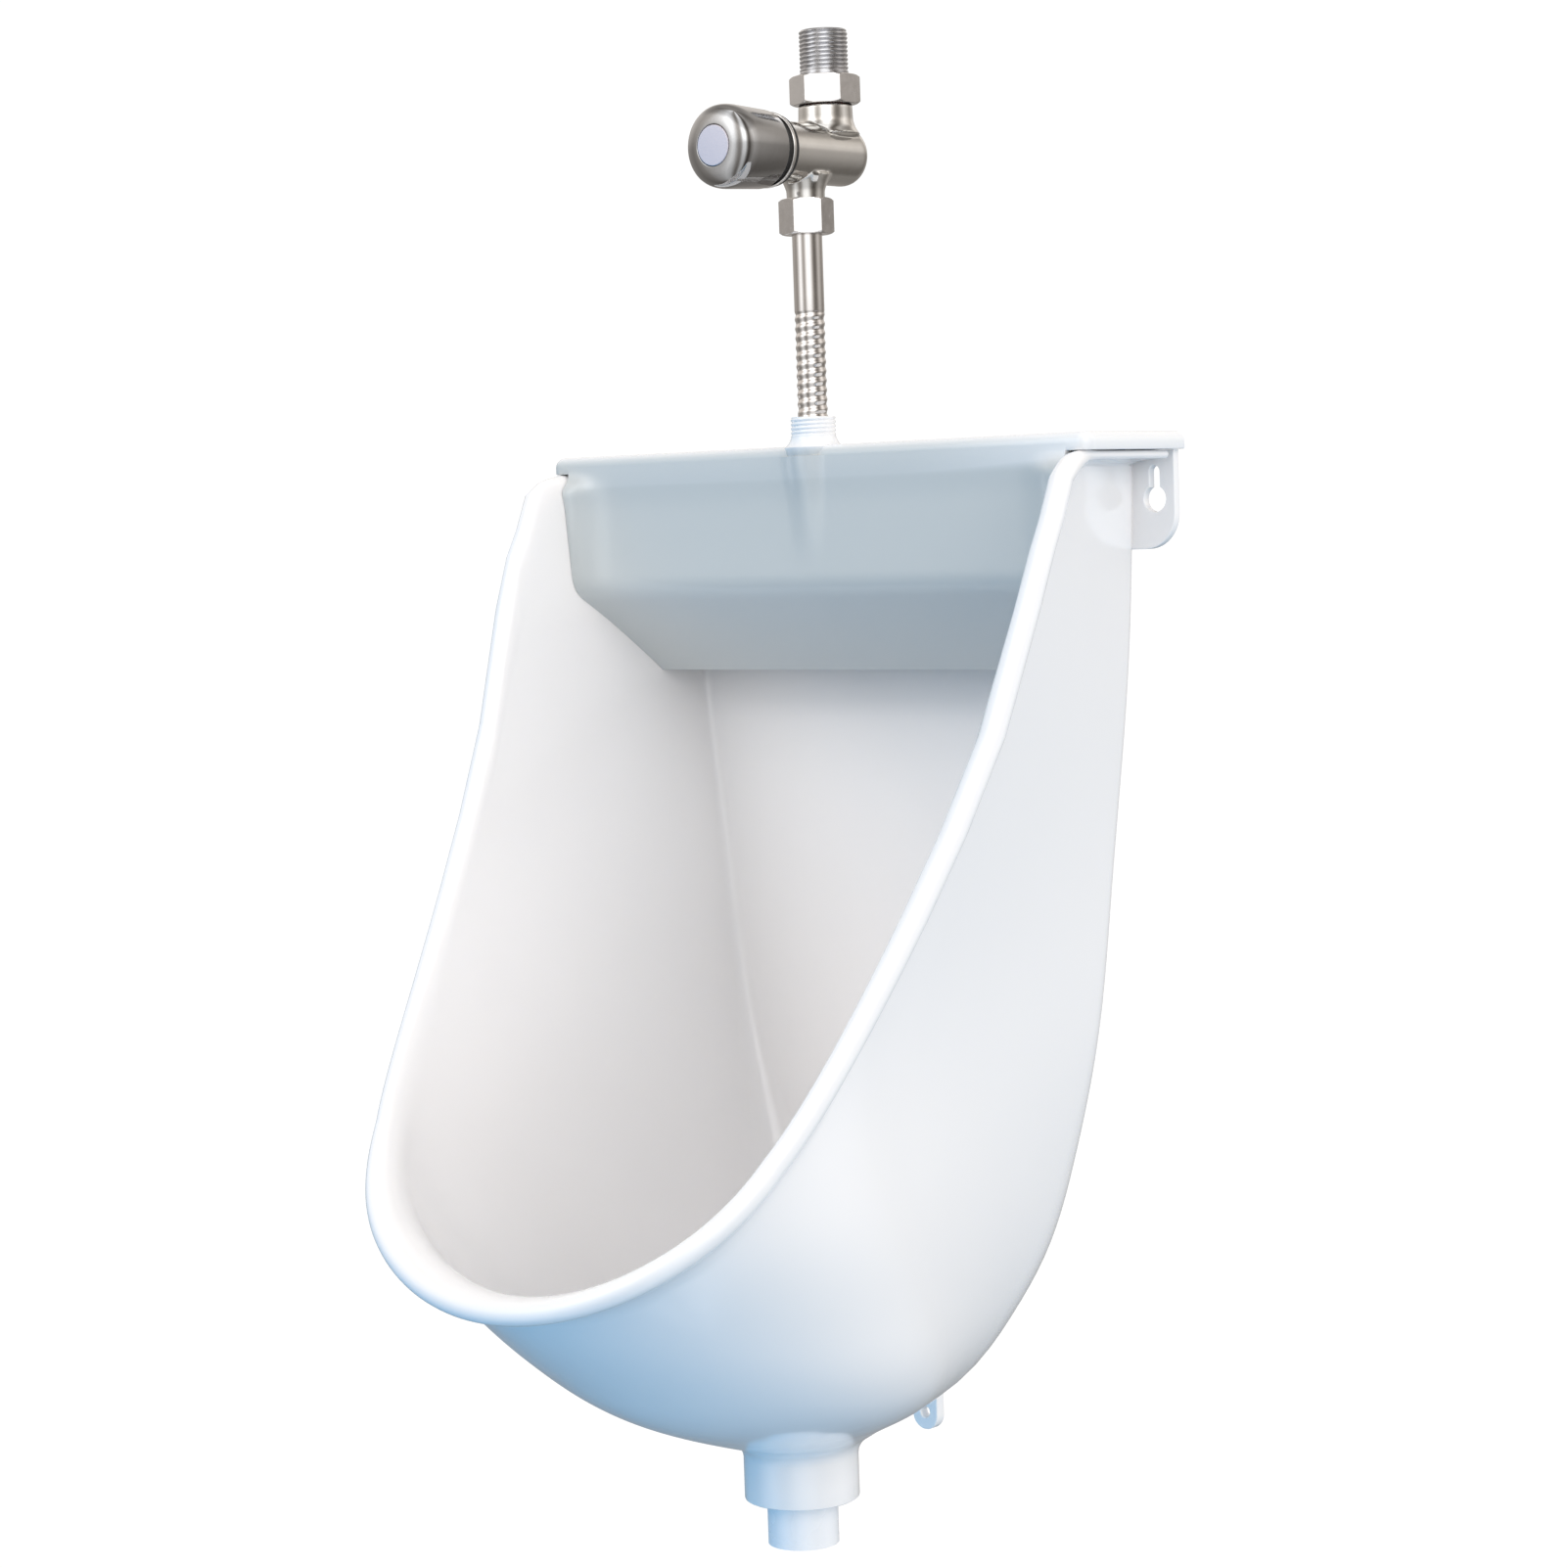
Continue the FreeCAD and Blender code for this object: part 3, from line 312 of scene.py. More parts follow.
def hood_plastic():
    """White moulding with painted shade: blue-grey on the face below the cover and on the cover's front edge,
    lighter towards the cover's right end; the top and the spud stay white.
    """
    m = plastic("hood_abs_painted_shade", (0.86, 0.86, 0.87), (0.825, 0.83, 0.845), 0.20)
    tree = m.node_tree
    base = tree.nodes["Principled BSDF"].inputs["Base Color"]
    white = base.links[0].from_socket
    coord = tree.nodes.new("ShaderNodeTexCoord")
    split = tree.nodes.new("ShaderNodeSeparateXYZ")
    tree.links.new(coord.outputs["Object"], split.inputs[0])

    def fade(axis, start, end, low, high):
        return remap(tree, split.outputs[axis], start * MM, end * MM, low, high, "SMOOTHSTEP")

    # Masks of the painted shade: the cover's edge below its top, fading out towards its right end where the
    # light falls, and all of the face below the cover.
    below_top = fade("Z", TOP + 0.5, TOP - 3.5, 0.0, 1.0)
    below_cover = fade("Z", TOP - COVER + 1.0, TOP - COVER - 8.0, 0.0, 1.0)
    along_cover = fade("X", 45.0, 200.0, 0.88, 0.0)
    on_cover = calculate(tree, "MULTIPLY", along_cover, below_top)
    painted_shade = calculate(tree, "MAXIMUM", on_cover, below_cover)
    tree.links.new(mixed(tree, "MIX", painted_shade, white, HOOD_PAINTED_SHADE), base)
    return m


# Finish of each material slot in the record: plastic has a colour, a darker shade and its roughness, and
# metal and rubber have a colour and their roughness.
LOOKS = {
    "white_plastic": plastic("white_abs", (0.88, 0.865, 0.86), (0.85, 0.835, 0.835), 0.18),
    "hood_plastic": hood_plastic(),
    "strainer_steel": chrome("strainer_steel", (0.66, 0.66, 0.67), 0.24),
    "reducer_plastic": plastic("reducer_pp", (0.85, 0.855, 0.87), (0.81, 0.82, 0.84), 0.28, coat=0.2),
    "black_rubber": rubber("black_rubber", (0.012, 0.012, 0.012), 0.55),
    "pipe_steel": chrome("pipe_chrome", (0.78, 0.75, 0.73), 0.12, stretch=(1, 1, 0.05)),
    "ferrule_brass": chrome("ferrule_brass", (0.70, 0.54, 0.28), 0.25),
    "fibre_washer": rubber("fibre_red", (0.34, 0.07, 0.04), 0.8),
    "nut_chrome": chrome("nut_chrome", (0.76, 0.74, 0.73), 0.16, wave=0.16),
    "body_chrome": chrome("body_chrome", (0.75, 0.735, 0.71), 0.10),
    "thread_chrome": chrome("thread_chrome", (0.62, 0.62, 0.64), 0.18),
    "valve_brass": chrome("valve_brass", (0.72, 0.57, 0.30), 0.22),
    "bonnet_chrome": chrome("bonnet_chrome", (0.80, 0.78, 0.76), 0.08),
    # The button's chrome is darker than the other chrome: painted shade, standing in for the dimmer
    # surroundings that it mirrors.
    "knob_chrome": chrome("knob_chrome", (0.46, 0.46, 0.465), 0.07),
    "badge_plastic": plastic("badge_pp", (0.68, 0.62, 0.66), (0.61, 0.56, 0.61), 0.35, coat=0.1,
                             subsurface=0.0),
    "screw_steel": chrome("screw_zinc", (0.62, 0.62, 0.60), 0.28),
    "stem_brass": chrome("stem_brass", (0.72, 0.57, 0.30), 0.20, stretch=(1, 0.05, 1)),
    "piston_plastic": plastic("acetal", (0.82, 0.81, 0.76), (0.78, 0.77, 0.72), 0.40, coat=0.0),
    "spring_steel": chrome("spring_steel", (0.58, 0.58, 0.59), 0.26),
}

for part in frame["record"]["subparts"]:
    obj = frame["nodes"][part["node"]]
    obj.data.materials.clear()
    obj.data.materials.append(LOOKS[part["material_slot"]])

# ---------------------------------------------------------------- mesh helpers

def weld(data):
    """Join points within 0.1 micrometre, drop edges without length and turn the faces outwards."""
    mesh = bmesh.new()
    mesh.from_mesh(data)
    bmesh.ops.remove_doubles(mesh, verts=mesh.verts, dist=1e-7)
    bmesh.ops.dissolve_degenerate(mesh, dist=1e-8, edges=mesh.edges)
    bmesh.ops.recalc_face_normals(mesh, faces=mesh.faces)
    mesh.to_mesh(data)
    mesh.free()
    data.validate()


def shade(data, slot_name, sharp):
    """Smooth look except at sharp edges, and the finish of a slot."""
    data.shade_smooth()
    data.set_sharp_from_angle(angle=math.radians(sharp))
    data.materials.clear()
    data.materials.append(LOOKS[slot_name])


def mesh_object(name, vertices, faces, slot_name, body="urinal", sharp=35.0):
    """Piece from points in millimetres."""
    data = bpy.data.meshes.new(name)
    data.from_pydata([tuple(v * MM for v in p) for p in vertices], [], faces)
    weld(data)
    shade(data, slot_name, sharp)
    obj = bpy.data.objects.new(name, data)
    bpy.context.scene.collection.objects.link(obj)
    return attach(obj, body)


def grid_faces(rows, columns, closed_columns=True, closed_rows=False):
    """Faces of a grid of points that are listed row by row."""
    faces = []
    for r in range(rows if closed_rows else rows - 1):
        for c in range(columns if closed_columns else columns - 1):
            a = r * columns + c
            b = r * columns + (c + 1) % columns
            up = ((r + 1) % rows) * columns
            faces.append((a, b, up + (c + 1) % columns, up + c))
    return faces


def smooth(t):
    """Soft step from 0 to 1."""
    t = min(max(t, 0.0), 1.0)
    return t * t * (3 - 2 * t)


def unit(v):
    """The same direction with length 1."""
    return v / np.linalg.norm(v)


def bezier(a, b, c, t):
    """Point of the curve from a to c that is drawn towards b."""
    return a * (1 - t) ** 2 + b * 2 * t * (1 - t) + c * t * t


def between(a, b, c, steps):
    """Points of the curve from a to c that is drawn towards b, without its ends."""
    return [bezier(a, b, c, t) for t in np.linspace(0, 1, steps)[1:-1]]


# ---------------------------------------------------------------- bowl shell

# Sections of the shell, as in the solid model: depth, half width, half width of the back, length of the
# rounded corner on the back and on the side, distance from the wall of the shoulder, the front and the back,
# and how full the front is.
STATIONS = np.array([
    (0.0, 153.0, 126.5, 8.0, 8.0, 110.0, 285.0, 0.0, 0.62),
    (100.0, 143.0, 121.5, 8.0, 8.0, 130.0, 286.0, 0.0, 0.62),
    (190.0, 127.0, 111.0, 9.0, 9.0, 165.0, 286.0, 0.0, 0.63),
    (260.0, 114.5, 102.5, 12.0, 13.0, 180.0, 284.5, 0.0, 0.63),
    (315.0, 109.5, 91.0, 20.0, 24.0, 159.0, 275.0, 0.0, 0.63),
    (355.0, 101.0, 79.0, 36.0, 38.0, 129.0, 248.0, 0.4, 0.58),
    (385.0, 90.0, 62.0, 44.0, 52.0, 107.0, 214.0, 6.5, 0.56),
    (408.0, 66.0, 45.0, 38.0, 53.0, 94.0, 179.0, 26.0, 0.54),
    (422.0, 39.5, 32.0, 30.0, 44.0, 93.0, 143.0, 51.0, 0.55),
    (430.0, 26.0, 25.0, 24.0, 24.0, 93.0, 119.0, 67.0, 0.55),
])
BOWL_DEPTH = 430               # depth of the lowest section
BACK_GAP = 0.4                 # the shell's back stays this far off the wall
LEAST_CORNER = 3.0             # shortest rounded corner of the inside

# The opening's edge from the side: distance from the wall and depth. Behind its first point the edge runs
# level under the cover, as the flange that the cover lies on.
RIM_PROFILE = np.array([
    (64.0, 9.6), (77.0, 14.0), (87.0, 25.0), (97.0, 45.0), (111.5, 86.0), (129.0, 127.5), (152.5, 169.5),
    (179.0, 210.5), (206.0, 249.0), (231.0, 282.5), (250.0, 308.0), (264.0, 331.0), (276.0, 356.0),
])
RIM_LOWEST = 350.0             # the edge is nowhere deeper

# The rim's bead, which grows out of the flange and reaches forwards as a lip.
BEAD = 1.75                    # radius on the flange
BEAD_GROWTH = 3.10             # added to it on the open rim
CURL_START = 56.0              # distance from the wall where it starts to grow
CURL_SPAN = 24.0
FLANGE_HALF = 147.0            # half width over the flanges
RIM_FRONT = 150.0              # further than this from the wall, the rim faces forwards
LIP_START = 200.0              # distance from the wall where the lip may start
LIP_HALF = 105.0               # half width of the lip
LIP_REACH = 13.4
LIP_DROP = 4.0
BEAD_ROOM = 3.0                # skin left out below the bead, for the curve that leads to it
LIP_ROOM = 5.0                 # left out more at the lip

# The drain's spigot: radius and depth, from the bore's top round its end and up the outside.
SPIGOT = 25.0
SPIGOT_BORE = 21.0
SPIGOT_END = 454.2
SPIGOT_OUTLINE = [
    (SPIGOT_BORE, 430.6), (SPIGOT_BORE, 441.0), (SPIGOT_BORE, SPIGOT_END - 0.6),
    (SPIGOT_BORE + 0.6, SPIGOT_END), (SPIGOT - 0.6, SPIGOT_END), (SPIGOT - 0.15, SPIGOT_END - 0.3),
    (SPIGOT, SPIGOT_END - 0.9), (SPIGOT, 446.0), (SPIGOT, 438.0), (SPIGOT, 435.5),
]
NECK_HANDLE = (SPIGOT + 0.2, 429.8)        # draws the curve from the spigot to the skin
DRAIN_HANDLE = (SPIGOT_BORE + 0.2, 424.6)  # draws the curve from the inside to the bore
NECK_DEPTH = 426.5             # where the outside turns into the spigot
DRAIN_DEPTH = 424.0            # where the inside turns into the bore

# Lines that run down the shell, by stretch of its right half: start, end and number.
LINES = [(0, 1, 9), (1, 2, 15), (2, 3, 23), (3, 4, 49)]
SKIN_ROWS = 60


def natural_cubic(xs, ys, x):
    """Smooth curve through the points (xs, ys), read at x."""
    n = len(xs)
    h = np.diff(xs)
    system = np.eye(n)
    right = np.zeros(n)
    for i in range(1, n - 1):
        system[i, i - 1:i + 2] = h[i - 1], 2 * (h[i - 1] + h[i]), h[i]
        right[i] = 6 * ((ys[i + 1] - ys[i]) / h[i] - (ys[i] - ys[i - 1]) / h[i - 1])
    second = np.linalg.solve(system, right)
    i = int(np.clip(np.searchsorted(xs, x) - 1, 0, n - 2))
    a = (xs[i + 1] - x) / h[i]
    b = (x - xs[i]) / h[i]
    bend = (a ** 3 - a) * second[i] + (b ** 3 - b) * second[i + 1]
    return a * ys[i] + b * ys[i + 1] + bend * h[i] ** 2 / 6


def station_at(depth):
    """The values of STATIONS at any depth, without the depth."""
    return [natural_cubic(STATIONS[:, 0], STATIONS[:, k], depth) for k in range(1, STATIONS.shape[1])]


EACH_MILLIMETRE = np.array([station_at(depth) for depth in range(BOWL_DEPTH + 1)])


def skin_point(u, depth, inset):
    """Point of the right half of a section: u runs 0-1 over back, 1-2 corner, 2-3 side, 3-4 front.

    An inset of the wall's thickness gives the inside, which is also raised by it.
    """
    depth = min(max(depth, 0.0), float(BOWL_DEPTH))
    i = min(int(depth), BOWL_DEPTH - 1)
    t = depth - i
    section = EACH_MILLIMETRE[i] * (1 - t) + EACH_MILLIMETRE[i + 1] * t
    half, back_half, on_back, on_side, shoulder, front, back, full = section
    half, back_half = half - inset, back_half - inset
    back, front, shoulder = -max(back, 0.0) - BACK_GAP - inset, -front + inset, -shoulder
    on_back = min(max(on_back - inset, LEAST_CORNER), back_half - 1.0)
    side = np.array((half - back_half, shoulder - back))
    length = float(np.hypot(*side))
    side = side / length
    on_side = min(max(on_side - inset, LEAST_CORNER), length - 1.0)
    start = np.array((back_half - on_back, back))
    corner = np.array((back_half, back))
    leave = corner + side * on_side
    edge = np.array((half, shoulder))
    if u <= 1:
        p = start * u + np.array((0.0, back)) * (1 - u)
    elif u <= 2:
        p = bezier(start, corner, leave, u - 1)
    elif u <= 3:
        t = u - 2
        p = leave * (1 - t) + edge * t
    else:
        t = u - 3
        handle = edge + side * ((shoulder - front) * full / abs(side[1]))
        far = np.array((half * full, front))
        p = (edge * (1 - t) ** 3 + handle * 3 * t * (1 - t) ** 2 + far * 3 * t * t * (1 - t)
             + np.array((0.0, front)) * t ** 3)
    return np.array((p[0], p[1], TOP - depth + inset))


def edge_y(depth):
    """Distance from the wall of the opening's edge at a depth."""
    return float(natural_cubic(RIM_PROFILE[:, 1], RIM_PROFILE[:, 0], depth))


def edge_depth(u):
    """Depth where a line of the skin meets the opening's edge, or the flange's depth behind it."""
    flange_end, low = RIM_PROFILE[0]
    high = RIM_LOWEST
    if -skin_point(u, low, 0.0)[1] < flange_end:
        return low
    for _ in range(40):
        middle = (low + high) / 2
        if -skin_point(u, middle, 0.0)[1] > edge_y(middle):
            low = middle
        else:
            high = middle
    return (low + high) / 2


def rim_outward(u, p, along):
    """Level direction from the bowl's inside over its edge."""
    if u <= 1:
        return np.array((0.0, 1.0, 0.0))
    if u < 2:
        return unit(np.array((u - 1, 2 - u, 0)))
    outward = unit(np.array((-along[1], along[0], 0.0)))
    if outward[0] <= -0.01:
        outward = -outward
    if -p[1] > RIM_FRONT and outward[1] > 0:
        outward = -outward
    return outward


def rim_bead(u, p, along):
    """Bead at a point of the edge: its centre, radius and directions, the way out, and the lip's share."""
    outward = rim_outward(u, p, along)
    curl = smooth((-p[1] - CURL_START) / CURL_SPAN)
    radius, out = BEAD + BEAD_GROWTH * curl, BEAD
    if u < 2:
        radius, out = BEAD, -WALL / 2
    elif curl < 1:
        out = (FLANGE_HALF - BEAD - p[0]) * (1 - curl) + BEAD * curl
        outward = unit(outward * curl + np.array((1.0, 0.0, 0.0)) * (1 - curl))
    lip = max(0.0, 1 - (p[0] / LIP_HALF) ** 2) if -p[1] > LIP_START else 0.0
    out += LIP_REACH * lip
    centre = p + outward * out - np.array((0, 0, LIP_DROP * lip))
    root = p - outward * (WALL / 2)
    across = unit(centre - root) if lip else outward
    up = unit(np.cross(along, across))
    if up[2] < 0:
        up = -up
    across = unit(np.cross(up, along))
    if across.dot(outward) < 0:
        across = -across
    return centre, radius, across, up, outward, lip


def bowl_line(u, p, along, edge):
    """One line of the shell: out of the bore, up the outside, round the bead and down the inside."""
    centre, radius, across, up, outward, lip = rim_bead(u, p, along)
    steep = min(max(abs(along[2]), 0.05), 0.97)
    room = (radius + BEAD_ROOM + LIP_ROOM * lip) / max(math.sqrt(1 - steep ** 2), 0.3)
    outer_top = edge + room
    inner_top = outer_top + WALL
    neck = skin_point(u, NECK_DEPTH + 0.5, 0.0)
    angle = math.atan2(neck[1] - DRAIN_Y, neck[0])
    ray = np.array((math.cos(angle), math.sin(angle), 0.0))

    def ring(reach, depth):
        return np.array((0.0, DRAIN_Y, 0.0)) + ray * reach + np.array((0, 0, TOP - depth))

    shares = np.linspace(0, 1, SKIN_ROWS)
    outside = [skin_point(u, NECK_DEPTH - (NECK_DEPTH - outer_top) * t ** 1.15, 0.0) for t in shares]
    inside = [skin_point(u, inner_top + (DRAIN_DEPTH - inner_top) * t ** 0.9, WALL) for t in shares]
    bead = [centre + across * (radius * math.cos(a)) + up * (radius * math.sin(a))
            for a in map(math.radians, np.linspace(-90, 90, 15))]
    below_bead = p - up * (radius * 0.92) + outward * 0.1
    above_wall = p - outward * WALL + up * (radius * 0.95)
    spigot = [ring(*corner) for corner in SPIGOT_OUTLINE]
    return (spigot + between(spigot[-1], ring(*NECK_HANDLE), outside[0], 7)
            + outside + between(outside[-1], below_bead, centre - up * radius, 8)
            + bead + between(bead[-1], above_wall, inside[0], 10)
            + inside + between(inside[-1], ring(*DRAIN_HANDLE), spigot[0], 6))


def bowl():
    """Shell with its rolled rim, flanges and drain spigot, as one closed skin."""
    us = np.concatenate([np.linspace(*stretch)[:-1] for stretch in LINES] + [[4.0]])
    flip = np.array((-1, 1, 1))
    edges = [edge_depth(u) for u in us]
    points = [skin_point(u, depth, 0.0) for u, depth in zip(us, edges)]
    rim = [points[0] * flip] + points + [points[-2] * flip]
    lines = []
    for u, p, edge, before, after in zip(us, points, edges, rim, rim[2:]):
        lines.append(bowl_line(u, p, unit(after - before), edge))
    lines += [[q * flip for q in line] for line in lines[-2:0:-1]]
    vertices = [q for row in zip(*lines) for q in row]
    faces = grid_faces(len(lines[0]), len(lines), True, True)
    return mesh_object("bowl_moulding", vertices, faces, "white_plastic", sharp=40.0)


shell = bowl()
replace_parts(shell, "bowl_shell")


def flat_plate(name, outlines, thickness, round_edge, slot_name):
    """Plate against the wall from closed (x, z) outlines; the first is outside, the others are holes."""
    curve = bpy.data.curves.new(name, "CURVE")
    curve.dimensions = "2D"
    curve.fill_mode = "BOTH"
    curve.extrude = (thickness / 2 - round_edge) * MM
    curve.bevel_depth = round_edge * MM
    curve.bevel_resolution = 3
    curve.offset = -round_edge * MM
    for outline in outlines:
        spline = curve.splines.new("POLY")
        spline.points.add(len(outline) - 1)
        for point, (px, pz) in zip(spline.points, outline):
            point.co = (px * MM, pz * MM, 0, 1)
        spline.use_cyclic_u = True
    temp = bpy.data.objects.new(name + "_curve", curve)
    data = bpy.data.meshes.new_from_object(temp)
    bpy.data.objects.remove(temp)
    upright = Matrix.Rotation(math.radians(90), 4, "X")
    data.transform(Matrix.Translation((0, -thickness / 2 * MM, 0)) @ upright)
    shade(data, slot_name, 40.0)
    obj = bpy.data.objects.new(name, data)
    bpy.context.scene.collection.objects.link(obj)
    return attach(obj, "urinal")


def arc(cx, cz, radius, start, end, steps=12):
    """Points of an arc from one angle to another, in degrees."""
    angles = [math.radians(start + (end - start) * k / steps) for k in range(steps + 1)]
    return [(cx + radius * math.cos(a), cz + radius * math.sin(a)) for a in angles]


def ear(side):
    """Screw ear beside the shell's back, with its keyhole; side is 1 on the right and -1 on the left."""
    inner, outer, top, low, corner = 119.0, FLANGE_HALF, 20.3, TOP - 49.0, 15.0
    hole_x, hole_radius, slot_radius, slot_top = 137.0, 5.5, 2.5, 11.5
    outside = [(inner, top), (inner, low)]
    outside += arc(outer - corner, low + corner, corner, -90, 0) + [(outer, top)]
    hole = arc(hole_x, 0.0, hole_radius, 117, 423, 24) + arc(hole_x, slot_top, slot_radius, 0, 180, 10)
    if side < 0:
        outside = [(-x, z) for x, z in reversed(outside)]
        hole = [(-x, z) for x, z in reversed(hole)]
    return flat_plate("ear_right" if side > 0 else "ear_left", [outside, hole], 4.0, 0.5, "white_plastic")


def lower_tab():
    """Screw tab that hangs below the shell's back."""
    half, top, end, hole_radius, hole_up = 7.0, TOP - 370.0, TOP - 444.0, 2.6, 8.0
    outside = [(-half, top)] + arc(0, end + half, half, 180, 360, 20) + [(half, top)]
    hole = arc(0, end + hole_up, hole_radius, 0, 345, 23)
    return flat_plate("lower_tab", [outside, hole], 5.4, 0.6, "white_plastic")


ear(1)
ear(-1)
lower_tab()

# ---------------------------------------------------------------- turned pieces

def soften(outline, steps=5):
    """Closed outline of (radius, distance, rounding) corners, each corner rounded by a short curve."""
    points = []
    for k, (r, d, rounding) in enumerate(outline):
        here = np.array((r, d))
        if not rounding:
            points.append(here)
            continue
        before = np.array(outline[k - 1][:2])
        after = np.array(outline[(k + 1) % len(outline)][:2])
        start = here + (before - here) * min(rounding / np.linalg.norm(before - here), 0.5)
        end = here + (after - here) * min(rounding / np.linalg.norm(after - here), 0.5)
        points += [bezier(start, here, end, t) for t in np.linspace(0, 1, steps)]
    return points


def lathe(name, outline, centre, axis, slot_name, body="urinal", segments=96, radius_at=None, turn=0.0,
          sharp=30.0):
    """Turned piece from a closed outline; radius_at(radius, distance, angle) may reshape the outline."""
    across = X
    up = axis.cross(across)
    vertices = []
    for r, d in outline:
        for k in range(segments):
            angle = 2 * math.pi * k / segments + math.radians(turn)
            radius = radius_at(r, d, angle) if radius_at else r
            p = Vector(centre) + axis * d + (across * math.cos(angle) + up * math.sin(angle)) * radius
            vertices.append(tuple(p))
    faces = grid_faces(len(outline), segments, True, True)
    return mesh_object(name, vertices, faces, slot_name, body, sharp)


def spiral(distance, angle, pitch):
    """Place across a screw thread's profile, 0 to 1, at a distance along the axis."""
    return (distance / pitch - angle / (2 * math.pi)) % 1.0


def thread_depth(distance, angle, pitch, cut, flatness, run_in, run_out):
    """Depth of a screw thread below its crest; run_in and run_out are (place, length) where it fades."""
    crest = 1 - abs(2 * spiral(distance, angle, pitch) - 1)
    ease = smooth((distance - run_in[0]) / run_in[1]) * smooth((run_out[0] - distance) / run_out[1])
    return cut * (1 - min(crest * flatness, 1.0)) * ease


def runs(start, end, step):
    """Distances from start to end, about a step apart."""
    return [float(v) for v in np.linspace(start, end, max(2, round(abs(end - start) / step) + 1))]


def flush_pipe():
    """Plain tube whose lower part has a shallow groove rolled round it like a screw."""
    outer, bore, foot, length, chamfer = 6.5, 5.7, TOP - 9.0, 110.0, 0.3
    first, last, pitch, depth, fade = 21.0, 67.0, 4.05, 0.5, 2.0

    def reshape(r, d, angle):
        if r < outer - 0.1 or not first < d < last:
            return r
        blend = smooth((d - first) / fade) * smooth((last - d) / fade)
        valley = math.cos(math.pi * (spiral(d, angle, pitch) - 0.5)) ** 2
        return r - depth * blend * valley

    outside = runs(chamfer, first, 4.0) + runs(first, last, 0.27)[1:] + runs(last, length, 6.0)[1:]
    outline = [(bore, 0.0), (outer - chamfer, 0.0)] + [(outer, d) for d in outside] + [(bore, length)]
    pipe = lathe("pipe_tube", outline, (0, SPUD_Y, foot), Z, "pipe_steel", segments=72, radius_at=reshape)
    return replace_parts(pipe, "flush_pipe")


def hexagon_nut(name, node, across, bores, centre_y, bottom, height, turn):
    """Nut with turned-off corners; bores are (radius, start, end), and turn is one corner's angle."""
    flat = across / 2
    corner = across / math.sqrt(3)
    chamfer, broken_edge = 1.7, 0.25
    chamfer_height = chamfer * 0.6
    near_end = [0.0, 0.12, 0.25, 0.5, 0.75, 1.0, 1.3]
    rows = near_end + runs(chamfer, height - chamfer, 3.0) + [height - v for v in reversed(near_end)]
    outline = [(corner, d) for d in rows]
    for radius, start, end in reversed(bores):
        outline += [(radius, end), (radius, start)]

    def reshape(r, d, angle):
        if r < flat:
            return r
        face = (math.degrees(angle - math.radians(turn)) % 60) - 30
        edge = min(d, height - d)
        limit = corner - chamfer + chamfer * min(edge / chamfer_height, 1.0) ** 0.8
        return min(flat / math.cos(math.radians(face)), limit) - max(0.0, broken_edge - edge)

    nut = lathe(name, outline, (0, centre_y, TOP + bottom), Z, "nut_chrome", segments=144, radius_at=reshape,
                turn=turn, sharp=22.0)
    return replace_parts(nut, node)


def tailpiece():
    """Half inch tailpiece with its thread, tapered at its end."""
    major, bore, neck, neck_end, length, foot = 10.48, 7.6, 10.2, 8.0, 26.5, 152.0
    collar, collar_height = 11.3, 3.0
    cut, pitch, flatness = 0.6, 1.81, 1.5
    lead, lead_slope = 0.8, 0.8

    def reshape(r, d, angle):
        if r < major - 0.1 or d < neck_end:
            return r
        depth = thread_depth(d, angle, pitch, cut, flatness, (neck_end, 1.5), (length + 0.4, 1.2))
        return r - depth - max(0.0, d - length + lead) * lead_slope

    outline = [(bore, 0.0), (collar, 0.0), (collar, collar_height), (neck, collar_height), (neck, neck_end)]
    outline += [(major, d) for d in runs(neck_end, length, 0.2)] + [(bore, length)]
    piece = lathe("tail_thread", outline, (0, INLET_Y, TOP + foot), Z, "thread_chrome", segments=72,
                  radius_at=reshape, sharp=50.0)
    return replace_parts(piece, "inlet_tailpiece")


# Where the turned pieces of the valve start along its axis.
KNOB_BACK = -91.0
BADGE_BACK = -120.4
BONNET_BACK = -85.2
BARREL_FRONT = -83.4


def axis_point(y):
    """Point of the valve's axis."""
    return (0, y, VALVE_Z)


def push_knob():
    """Chromed button with a rounded shoulder, a recess for its disc and a slightly tapered skirt."""
    outline = soften([
        (0.0, 29.2, 0), (8.7, 29.2, 0.2), (8.8, 30.35, 0.35), (12.6, 29.9, 3.0), (16.6, 28.0, 3.6),
        (17.75, 23.6, 3.0), (16.6, 0.0, 0.7), (14.7, 0.0, 0.4), (14.6, 21.0, 0), (0.0, 21.0, 0),
    ])
    knob = lathe("button_skirt", outline, axis_point(KNOB_BACK), -Y, "knob_chrome", "button", 128)
    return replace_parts(knob, "push_knob")


def knob_badge():
    """Bare disc in the button's recess."""
    outline = soften([(0.0, 0.0, 0), (8.5, 0.0, 0.1), (8.5, 1.1, 0.5), (0.0, 1.15, 0)])
    disc = lathe("button_disc", outline, axis_point(BADGE_BACK), -Y, "badge_plastic", "button")
    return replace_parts(disc, "knob_badge")


def bonnet():
    """Chromed ring in front of the body, with the hub that the sleeve sits on."""
    outline = soften([
        (3.1, -8.0, 0), (9.2, -8.0, 0), (9.2, 0.0, 0), (15.6, 0.0, 0.3), (16.1, 0.8, 0.7), (16.1, 2.2, 0.6),
        (11.4, 2.2, 0), (11.4, 12.1, 0), (3.1, 12.1, 0),
    ])
    ring = lathe("bonnet_ring", outline, axis_point(BONNET_BACK), -Y, "bonnet_chrome", segments=128)
    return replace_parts(ring, "bonnet")


